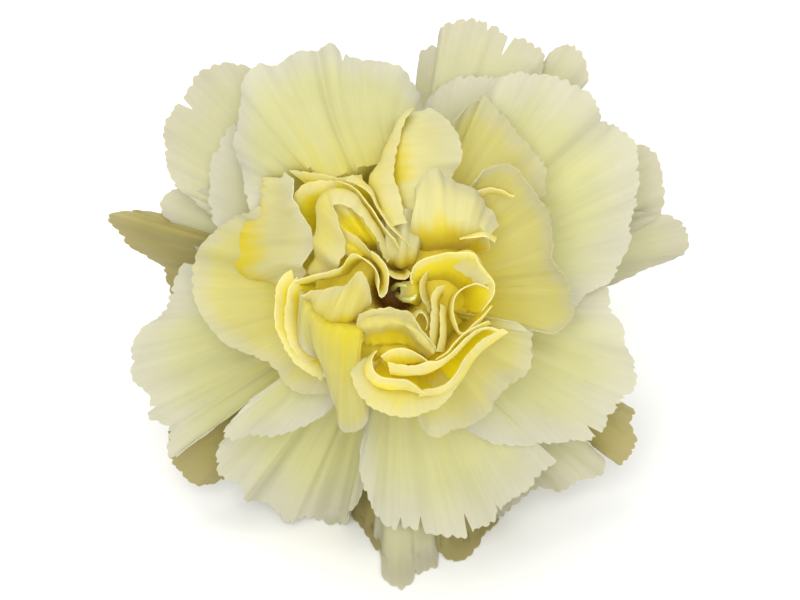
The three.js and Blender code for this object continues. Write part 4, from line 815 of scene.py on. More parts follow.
# ---- Ring petals. The large petals that spread into the ring of the bloom, nearly level, with wide
# ---- fans, soft pleats and slits in their margins. They are paler and fresher than the guards.
ring_face = petal_skin("ring_petal_face", "#DED25A", "#DCDA9F", "#DDDAC8", yellow=(0.3, 0.8),
                       border=8.0)
ring_back = petal_skin("ring_petal_back", "#D0C878", "#D8D6A6", "#DAD7B8")
RING_PETALS = [
    dict(name="spread_top", claw=(-1.2, 3.6, 3),
        folds=[(0.37, -1.4, 0.018), (0.42, 0.8, 0.06)], slits=[(0.3, 2.4)],
        rows=[[(1.4, 17.5, 10), (-0.4, 16.6, 11.5), (-2, 15.8, 12.4), (-4.4, 15.2, 13),
               (-6.4, 14.4, 13.4), (-8.4, 14, 13.6), (-10.4, 14.4, 13.4), (-12.4, 14.6, 12.8),
               (-13.8, 12.4, 11.2), (-14, 9.6, 9.4)],
              [(2.2, 20.8, 11), (-0.2, 19.2, 13.4), (-1.8, 17.9, 15), (-3.6, 16.8, 16),
               (-5.6, 15.9, 16.7), (-7.8, 15.2, 17), (-9.8, 15.7, 16.8), (-12, 16.6, 16.2),
               (-14.8, 15.4, 13.2), (-16, 9.8, 9.2)],
              [(3.4, 23, 7.5), (1.4, 24.6, 9), (-2, 24.4, 10.2), (-5.6, 24, 10.8), (-9.2, 24.2, 10.9),
               (-13, 24, 10.6), (-16.6, 23, 10), (-19, 20.4, 9.4), (-19, 15.4, 9.8), (-17.4, 9.8, 8.6)]],
        margin=[(4.2, 24, 3), (3.2, 27.2, 3), (1.8, 29.6, 2.5), (-2, 31.4, 2), (-6, 32.3, 2),
                (-9, 33.3, 2), (-12.5, 32.5, 2.5), (-16.5, 30.8, 3), (-19.5, 30.2, 4), (-21, 27, 5),
                (-21.5, 22, 6), (-21, 16.5, 7.5), (-19.9, 11.6, 9), (-18.6, 8.2, 9.6)]),
    dict(name="left_upper", claw=(-3.5, 2.2, 2.5), rise=9, flare=98, reach=0.4,
        margin=[(-22, 23, 0.5), (-24.4, 20, 1), (-25.4, 15, 1.5), (-25.2, 11, 2.5), (-24.4, 8, 3.5),
                (-23.2, 5, 4.5)]),
    dict(name="spread_top_right", claw=(1.2, 3.8, 2.5), rise=9, flare=98, reach=0.4,
        margin=[(15.5, 26, 0), (14.8, 29, -0.5), (13, 29.9, -1), (11.5, 29.5, -1), (8, 29.2, -1),
                (5.7, 27.5, -1), (3.9, 25.5, -0.5), (1.5, 23, 0)]),
    dict(name="spread_right", claw=(3.4, 1.4, 3), rise=10, flare=97, reach=0.4,
        folds=[(0.6, -1, 0.05), (0.67, 1, 0.05)],
        margin=[(22, -4.5, 4), (26.5, -0.3, 2.5), (28.6, 0.8, 2), (30.5, 3, 1.5), (31.6, 5.5, 1.5),
                (32.5, 9.5, 1.5), (33.2, 13, 1.5), (33.2, 17, 1.5), (32.7, 20.3, 1.5), (30.3, 22.8, 2),
                (28.5, 23.6, 2), (27.3, 25.6, 2.5), (25.6, 27.8, 2.5), (21.5, 29.5, 2.5), (17, 29.9, 3),
                (14.6, 29.4, 3.5), (12.5, 26.5, 4)]),
    dict(name="spread_lower_right", claw=(3.2, -2, 2.5), rise=9, flare=98, reach=0.4,
        folds=[(0.6, 0.9, 0.04), (0.7, -0.9, 0.04)], slits=[(0.46, 2.6), (0.565, 0.8)],
        margin=[(7.5, -17.5, -0.5), (10.5, -19.4, -1), (13.2, -20.8, -1.5), (16.5, -21.2, -1.5),
                (20, -21, -2), (24, -20.3, -2.5), (27.2, -20.2, -3), (28.9, -18.6, -3),
                (29.8, -16.5, -3), (31.3, -14.4, -2.5), (32.9, -12.8, -2), (32.8, -10, -1.5),
                (31.6, -7, -1), (31, -4.2, -0.5), (29.5, -2, 0), (28.8, 0.8, 0), (27.5, 3, 0)]),
    dict(name="spread_bottom", claw=(0.4, -3.6, 2), rise=8, reach=0.4,
        folds=[(0.3, -0.8, 0.03), (0.53, 0.6, 0.05)],
        slits=[(0.39, 2), (0.46, 2.3), (0.62, 3.6), (0.74, 1.6)],
        margin=[(-4.2, -19, -2), (-4.9, -24.5, -4), (-4, -27.5, -5), (-2.8, -30.2, -6), (0, -32.6, -7),
                (2.5, -32.4, -7), (4.8, -33.1, -7), (7.5, -33.4, -7), (9.5, -33.6, -7),
                (12, -32.4, -6.5), (14, -31.2, -6), (15.2, -28.9, -5.5), (17.2, -27.8, -5),
                (20, -25.3, -4), (22, -22.8, -3)]),
    dict(name="spread_bottom_left", claw=(-1.5, -3.4, 2), rise=8, flare=104, reach=0.4,
        folds=[(0.28, 0.7, 0.03), (0.36, -0.7, 0.03), (0.48, 0.8, 0.03), (0.6, -0.8, 0.04),
               (0.72, 0.6, 0.04)],
        margin=[(-22.5, -19, -5), (-24.3, -21.5, -6), (-24.2, -25, -8), (-21.6, -26.2, -10),
                (-20.6, -28.3, -12), (-17.8, -29.3, -13.5), (-14.8, -31.3, -15.5), (-12, -31, -15.5),
                (-9.2, -32.1, -16), (-6.2, -31.4, -14), (-4.8, -28, -9), (-4.2, -21, -4)]),
    dict(name="flap_lower_left", claw=(-2.5, -2.8, 3), rise=12, flare=112, reach=0.42,
        margin=[(-19.5, -14.5, 6.5), (-22.2, -17.4, 5), (-23.6, -19.6, 3.5), (-22.3, -20.3, 3),
                (-19.5, -19.7, 3), (-16.5, -19.6, 3.5), (-14, -18.9, 4), (-11.5, -18, 4.5),
                (-8.7, -16, 6), (-7, -13, 8)]),
    dict(name="spread_left", claw=(-3.6, -1.4, 2.5), rise=9, reach=0.4,
        folds=[(0.3, 0.5, 0.04), (0.55, -0.6, 0.04)], slits=[(0.62, 1.4)],
        margin=[(-29, 4, -1), (-30.8, 0, -2), (-31.6, -2.6, -2.5), (-34.6, -5, -3.5), (-36.2, -9, -4.5),
                (-35.6, -12.6, -5.5), (-33.4, -14.6, -6), (-33.7, -17.3, -7), (-31, -18.6, -7.5),
                (-31.4, -20.8, -8), (-30.6, -22.6, -8.5), (-26, -19.5, -6.5)]),
]
for form in RING_PETALS:
    petal_piece(skins=(ring_face, ring_back), **form)


# ---- Cupped petals. The middle ones, which stand up from the ring and fold out over it, so that the
# ---- bloom looks full. Their margins are wavier than the guards', with shallower teeth.
cupped_face = petal_skin("cupped_petal_face", "#E8D93E", "#DAD384", "#D6D2AE", yellow=(0.4, 0.85),
                         border=3.2)
cupped_back = petal_skin("cupped_petal_back", "#E2D45C", "#DED690", "#DBD8B0")
CUPPED_HABIT = dict(teeth=0.7, ruffle=0.02)
CUPPED_PETALS = [
    dict(name="wing_left", claw=(-3.2, 0.2, 4), rise=12, flare=92,
        folds=[(0.12, -0.8, 0.04), (0.3, -0.8, 0.03)],
        margin=[(-17.5, 12, 11), (-21, 10.4, 9.2), (-24.2, 8.5, 7.5), (-26, 6.8, 6.5), (-27.5, 3.5, 6),
                (-27.5, 0, 6.5), (-26.3, -3, 7), (-24.3, -5.8, 7.5), (-22.8, -7.3, 7.5),
                (-19.5, -8.7, 8.5), (-16.8, -10, 9.5), (-14.6, -12.9, 9.5), (-11.5, -14, 10),
                (-8.8, -13.8, 11), (-7, -12, 12)]),
    dict(name="petal_top_grey", claw=(2, 3, 4), rise=12, flare=80, reach=0.4,
        folds=[(0.7, 0.8, 0.05)],
        margin=[(20.5, 13, 11), (20.4, 17, 9.5), (18, 20.3, 8.5), (16, 22.6, 8), (14, 25, 7),
                (12, 27, 6), (10, 25.5, 7), (8, 23, 9)]),
    dict(name="cup_right", claw=(3, 0.5, 4), rise=16, flare=42,
        margin=[(17, -5, 12), (20.3, -5.5, 11), (22.7, -5.1, 10), (24.3, -3, 9.5), (24, -0.8, 10),
                (23, 1.5, 11), (21.7, 4.8, 12.5), (21.1, 8.5, 14), (20, 12, 15.5), (18.4, 14.6, 16.8),
                (16.7, 16.3, 17.4), (14.6, 16.9, 17.8), (12.4, 16.3, 18.2), (10.4, 15.2, 18.6)]),
    dict(name="petal_lower_right", claw=(2.6, -2.5, 4), rise=14, flare=105, reach=0.4,
        folds=[(0.14, 0.6, 0.04), (0.27, -0.6, 0.05), (0.42, 0.6, 0.05), (0.56, -0.7, 0.05),
               (0.68, 0.5, 0.04), (0.78, -0.7, 0.05), (0.9, 1.2, 0.05)],
        margin=[(3.2, -17.5, 9.5), (4.8, -19.7, 8.5), (7.5, -19.1, 8.5), (9.8, -18.5, 8.5),
                (12.2, -16.7, 9), (14.2, -14.3, 10), (16.4, -12.3, 11), (18.2, -10.3, 12),
                (18.7, -7.6, 13), (18.5, -5, 14), (16, -3.8, 16)]),
    dict(name="petal_outfold", claw=(-5, -3.6, 9),
        folds=[(0.3, -0.4, 0.05), (0.62, 0.4, 0.05), (0.78, -0.5, 0.05)], teeth=0.4, curl=-0.3,
        rows=[[(-12.7, 0.3, 20.4), (-11.9, -1.4, 20.8), (-10.8, -3.1, 21.1), (-9.6, -4.4, 21.3),
               (-7.8, -4.8, 21.7), (-6, -5, 21.9), (-4.8, -5.3, 21.9), (-4.3, -6.4, 21.4)],
              [(-13, -1.6, 20), (-12.6, -4.2, 19.6), (-11.3, -6.6, 19.4), (-9.6, -8.4, 19),
               (-7.8, -10.4, 18.2), (-6.6, -11.4, 17.4), (-5.6, -10.8, 17.8), (-4.6, -9, 19)]],
        margin=[(-13.2, -3.4, 19.3), (-13, -6.3, 18.4), (-12.2, -7.9, 17.9), (-10.6, -9.3, 17.4),
                (-9.1, -11, 16.3), (-8.6, -13.5, 13.8), (-8.1, -16, 11.2), (-7.9, -18, 9.4),
                (-6.6, -19.4, 8.4), (-5, -18.8, 8.6), (-3.6, -17.2, 9.6), (-3, -15.5, 11)]),
]
for form in CUPPED_PETALS:
    petal_piece(skins=(cupped_face, cupped_back), **(CUPPED_HABIT | form))


# ---- Smooth petals. Four broad, soft inner petals that rise round the upper half of the heart and
# ---- bend outwards, with a pale, nearly plain outer end. They are alike on both sides.
smooth_skin = petal_skin("smooth_petal_skin", "#F4E54C", "#EEE9AC", "#ECE9C6", yellow=(0.5, 0.7),
                         shine_through=0.48)
SMOOTH_HABIT = dict(teeth=0.5, ruffle=0.03)
SMOOTH_PETALS = [
    dict(name="ridge_left", claw=(-6.2, 3, 9),
        folds=[(0.2, 0.5, 0.05), (0.36, -0.5, 0.05), (0.52, 0.6, 0.05), (0.68, -0.5, 0.05)], teeth=0.1,
        rows=[[(-16.5, 0.8, 7.6), (-19.5, 1.6, 7), (-21.6, 4.2, 6.8), (-21.4, 7, 7.2), (-19.8, 9.4, 8.2),
               (-18, 11.4, 9.6), (-18.2, 13.4, 10.4), (-17.8, 15.2, 11.8)],
              [(-15.4, 1, 9.6), (-17.2, 2, 9.4), (-18.6, 4.5, 9.3), (-18.4, 7, 9.7), (-17.3, 9.3, 11),
               (-16.4, 11.3, 12.4), (-16.2, 13.4, 13.4), (-16.5, 15.4, 14)],
              [(-13.9, 1.4, 12.8), (-14.7, 2.8, 13), (-15.1, 5, 13.6), (-14.9, 7.2, 14.4),
               (-14.5, 9.3, 15.4), (-14.4, 11.2, 16.4), (-14.7, 13.2, 16.8), (-15.5, 15.3, 16.4)]],
        margin=[(-12.8, 1.8, 16.4), (-11.6, 3.8, 18.9), (-11.2, 6, 20.1), (-11.4, 7.6, 20.5),
                (-12, 9.2, 20.5), (-12.6, 11, 20.3), (-13.2, 13, 19.8), (-13.9, 14.8, 19),
                (-15.2, 16, 17.4)]),
    dict(name="smooth_right", claw=(5, 5.2, 10),
        folds=[(0.18, 0.5, 0.05), (0.33, -0.6, 0.05), (0.5, 0.5, 0.05), (0.66, -0.6, 0.05),
               (0.82, 0.5, 0.05)],
        rows=[[(2.6, 7, 19.5), (4.2, 6.2, 19.8), (6, 6.5, 19.8), (8, 6.7, 19.8), (10, 6.9, 19.6),
               (11.6, 6.6, 19), (12.6, 5.6, 18.4)],
              [(2.2, 9.2, 23), (4, 9.2, 23.6), (6, 9.2, 23.6), (8, 9.4, 23.2), (9.8, 9.4, 22.6),
               (11.4, 8.8, 21.8), (12.6, 7.2, 20.8)],
              [(2.9, 12.4, 22.2), (4.1, 14.4, 21.2), (5.8, 13.8, 21.6), (8, 12.8, 21.6), (10, 12, 21.2),
               (11.8, 10.8, 20.4), (13.2, 8.2, 19.2)]],
        margin=[(2.8, 14, 19), (4.2, 17.2, 17.4), (6.8, 16, 17.2), (9.2, 14.4, 17.4), (11.4, 13, 17.4),
                (13, 11.2, 17.2), (13.9, 8.8, 17)]),
    dict(name="hole_cup", claw=(0.8, 4.6, 11),
        folds=[(0.14, 0.5, 0.05), (0.28, -0.6, 0.05), (0.42, 0.5, 0.05), (0.56, -0.6, 0.05),
               (0.7, 0.5, 0.05), (0.84, -0.5, 0.05)],
        rows=[[(-2.2, 5.2, 18), (-1.2, 4.2, 18.2), (0, 3.6, 18.5), (1.2, 3.4, 18.5), (2.3, 3.8, 18.3),
               (3, 4.6, 18)],
              [(-2.4, 6.4, 20.4), (-1.2, 5.4, 21.1), (0, 5, 21.5), (1.3, 5, 21.5), (2.5, 5.4, 21.2),
               (3.4, 6.2, 20.6)]],
        margin=[(-2.2, 9, 21), (-1.3, 10.4, 21.4), (0, 11.2, 21.6), (1.6, 11.4, 21.6), (3, 11, 21.4),
                (4.2, 9.6, 21)]),
    dict(name="fold_top", claw=(1.8, 8.6, 13),
        folds=[(0.35, -0.5, 0.06), (0.62, 0.4, 0.07)],
        rows=[[(0.8, 9.8, 19.6), (0, 12, 19.4), (-0.5, 15, 18.8), (-0.6, 17.8, 17.6), (-0.2, 20.4, 15.8),
               (1, 22.6, 13.8), (1.8, 23.8, 13)],
              [(2.6, 11, 21.2), (2.5, 13.6, 20.8), (2.6, 16, 20), (2.4, 18.5, 18.8), (2.3, 21, 17),
               (2.8, 23, 15), (3.4, 24.2, 13.6)]],
        margin=[(5.4, 12.4, 19.4), (7.2, 14.2, 18), (8.4, 16.4, 16.6), (8.9, 18.8, 15), (8.7, 21, 13.6),
                (7.6, 23, 12.8), (6, 24.2, 12.4), (4.6, 24.6, 12.6)]),
]
for form in SMOOTH_PETALS:
    petal_piece(skins=(smooth_skin, smooth_skin), **(SMOOTH_HABIT | form))


# ---- Folded petals. Inner petals that bend over into arches, a fan, a bowl and lips round the pockets
# ---- of the heart. They are yellow inside their folds and pale where they turn outwards.
# Their yellow is partly their own colour and partly painted shade of the pockets inside their folds.
folded_skin = petal_skin("folded_petal_skin", "#FAEE40", "#F3EB8E", "#EFEAB8", yellow=(0.58, 0.72),
                         border=3.0, shine_through=0.52)
FOLDED_HABIT = dict(teeth=0.45, curl=-0.3, ruffle=0.025)
FOLDED_PETALS = [
    dict(name="fold_top_right", claw=(-1, 6.4, 9.5),
        rows=[[(-0.4, 8.7, 22.6), (-1.6, 11, 22.2), (-2.6, 13.2, 21.5), (-3.2, 15.4, 20.4),
               (-2.2, 17.2, 19.1), (-1.4, 19.6, 17.5), (0.2, 22.6, 15.8), (1.8, 24.6, 14.5)]],
        margin=[(1.8, 9.3, 23.2), (1.1, 11, 23.2), (0.5, 13, 22.8), (0.15, 15, 22), (0, 17.5, 20.8),
                (0.2, 20, 19.2), (1, 22.6, 17.2), (2.6, 24.8, 15.2)]),
    dict(name="arch", claw=(-5.5, 5, 10),
        folds=[(0.1, -0.4, 0.04), (0.2, 0.4, 0.04), (0.32, -0.3, 0.04), (0.62, 0.4, 0.04),
               (0.75, -0.4, 0.04)],
        rows=[[(-11.8, 2.8, 17.3), (-10.9, 5, 19.2), (-10.6, 7.4, 20.6), (-10.7, 9.8, 21.6),
               (-10.4, 12, 22.4), (-9.2, 13.4, 22.8), (-7.3, 13.8, 22.9), (-5.2, 12.9, 23.1),
               (-3.9, 11.4, 23), (-2.9, 9.8, 22.7), (-1.9, 8, 22.2), (-1, 6.2, 21.3), (-0.1, 4.8, 20.3)]],
        margin=[(-10.4, 1.2, 18.6), (-8.6, 2.4, 20.6), (-7.3, 3.8, 22.3), (-6.8, 5.6, 23.2),
                (-7.1, 7.8, 24.2), (-7.9, 10, 25), (-8.6, 11.6, 25.3), (-7.6, 12, 25.3),
                (-6.4, 11.7, 25.3), (-5.2, 11, 25), (-4.1, 9.8, 24.6), (-3.2, 8.3, 24.2),
                (-2.3, 6.8, 23.4), (-1.3, 5.2, 22.4), (-0.5, 4, 21.4)]),
    dict(name="fan_left", claw=(-5.5, -1, 11),
        folds=[(0.1, 0.4, 0.035), (0.22, -0.5, 0.04), (0.34, 0.4, 0.04), (0.47, -0.5, 0.04),
               (0.6, 0.4, 0.04)],
        rows=[[(-12.1, -1, 19.4), (-11.2, -2.6, 19.2), (-10.2, -3.9, 19.2), (-8.4, -4.3, 19.6),
               (-6.8, -4.2, 19.8), (-5.4, -3.5, 20), (-4.4, -2.7, 20), (-3.7, -2, 20)]],
        margin=[(-12.5, 0.1, 21), (-10.5, 0.4, 21.6), (-8.5, 0.6, 22.2), (-6.8, 1, 22.7),
                (-5.8, 2, 23.3), (-5.1, 2.8, 23.6), (-4.4, 3, 23.6), (-3.8, 2.3, 23.4), (-3.4, 0.9, 23),
                (-3.15, -0.3, 22.5), (-3, -1.4, 22)]),
    dict(name="bowl", claw=(1.6, -7, 8.6),
        rows=[[(-2.5, -9.5, 18.6), (-3.4, -11.2, 17.7), (-2.8, -12.6, 17.2), (-0.8, -13.5, 16.8),
               (1.5, -13.6, 16.7), (4, -13.6, 17), (6, -13, 17.6), (7.5, -11.8, 18.4)]],
        margin=[(-3.9, -8.9, 19.5), (-5.9, -10.3, 18.6), (-5.7, -12.2, 18), (-4.5, -14.2, 17.6),
                (-2.8, -15.8, 17.2), (-0.8, -16.7, 17), (1.6, -17, 17), (4.2, -16.4, 17.3),
                (6.5, -15, 17.8), (8.2, -13.2, 18.4), (9.6, -11, 19)]),
    dict(name="flap_right", claw=(7.4, 1.6, 9.5),
        rows=[[(8.8, 5.2, 19), (10, 5, 19), (11, 4.2, 19), (11.8, 3, 19), (12.4, 2, 19), (12.8, 1.2, 19)],
              [(8.4, 5.3, 22.6), (10, 5.4, 22.9), (10.9, 4.7, 22.7), (11.4, 3.8, 22.5), (12.2, 2.6, 22),
               (12.9, 1.4, 21.7)]],
        margin=[(7.2, 4.1, 21.8), (7.6, 3.4, 21.6), (8.6, 2.6, 21.4), (9.8, 1.8, 21.3),
                (10.6, 0.9, 21.2), (11.4, 0.6, 21.1)]),
    dict(name="lip", claw=(0.5, -5, 10),
        folds=[(0.3, -0.4, 0.06), (0.55, 0.3, 0.05), (0.75, -0.3, 0.05)],
        rows=[[(-3.6, -7.2, 18.2), (-1.6, -7, 18), (0.4, -7, 18), (2, -7.3, 18.2), (3.4, -8, 18.6),
               (4.4, -8.9, 18.8)],
              [(-4.4, -6.4, 18.6), (-2.4, -5.7, 18.5), (-0.4, -5.5, 18.5), (1.4, -6, 18.6),
               (3, -6.9, 18.8), (4.6, -8.6, 19)],
              [(-5.2, -5.2, 21.4), (-3.8, -4.4, 22.2), (-2, -4.1, 22.5), (0, -4.1, 22.5),
               (1.6, -4.7, 22.3), (3, -5.6, 22.1), (4.1, -6.9, 21.7), (5.2, -8.3, 20.8)],
              [(-5.2, -4.4, 21.3), (-3.8, -3.5, 21.7), (-2, -3.1, 21.9), (0, -3.2, 21.9),
               (1.6, -3.8, 21.7), (3, -4.8, 21.5), (4.2, -6.1, 21.2), (5.4, -7.8, 20.6)]],
        margin=[(-4.8, -3, 22), (-3.1, -1.9, 22.6), (-1.2, -1.6, 22.8), (0.3, -2, 22.8),
                (1.8, -2.7, 22.6), (3.1, -4.1, 22.3), (4.5, -5.4, 21.9), (5.6, -7.2, 21)]),
]
for form in FOLDED_PETALS:
    petal_piece(skins=(folded_skin, folded_skin), **(FOLDED_HABIT | form))
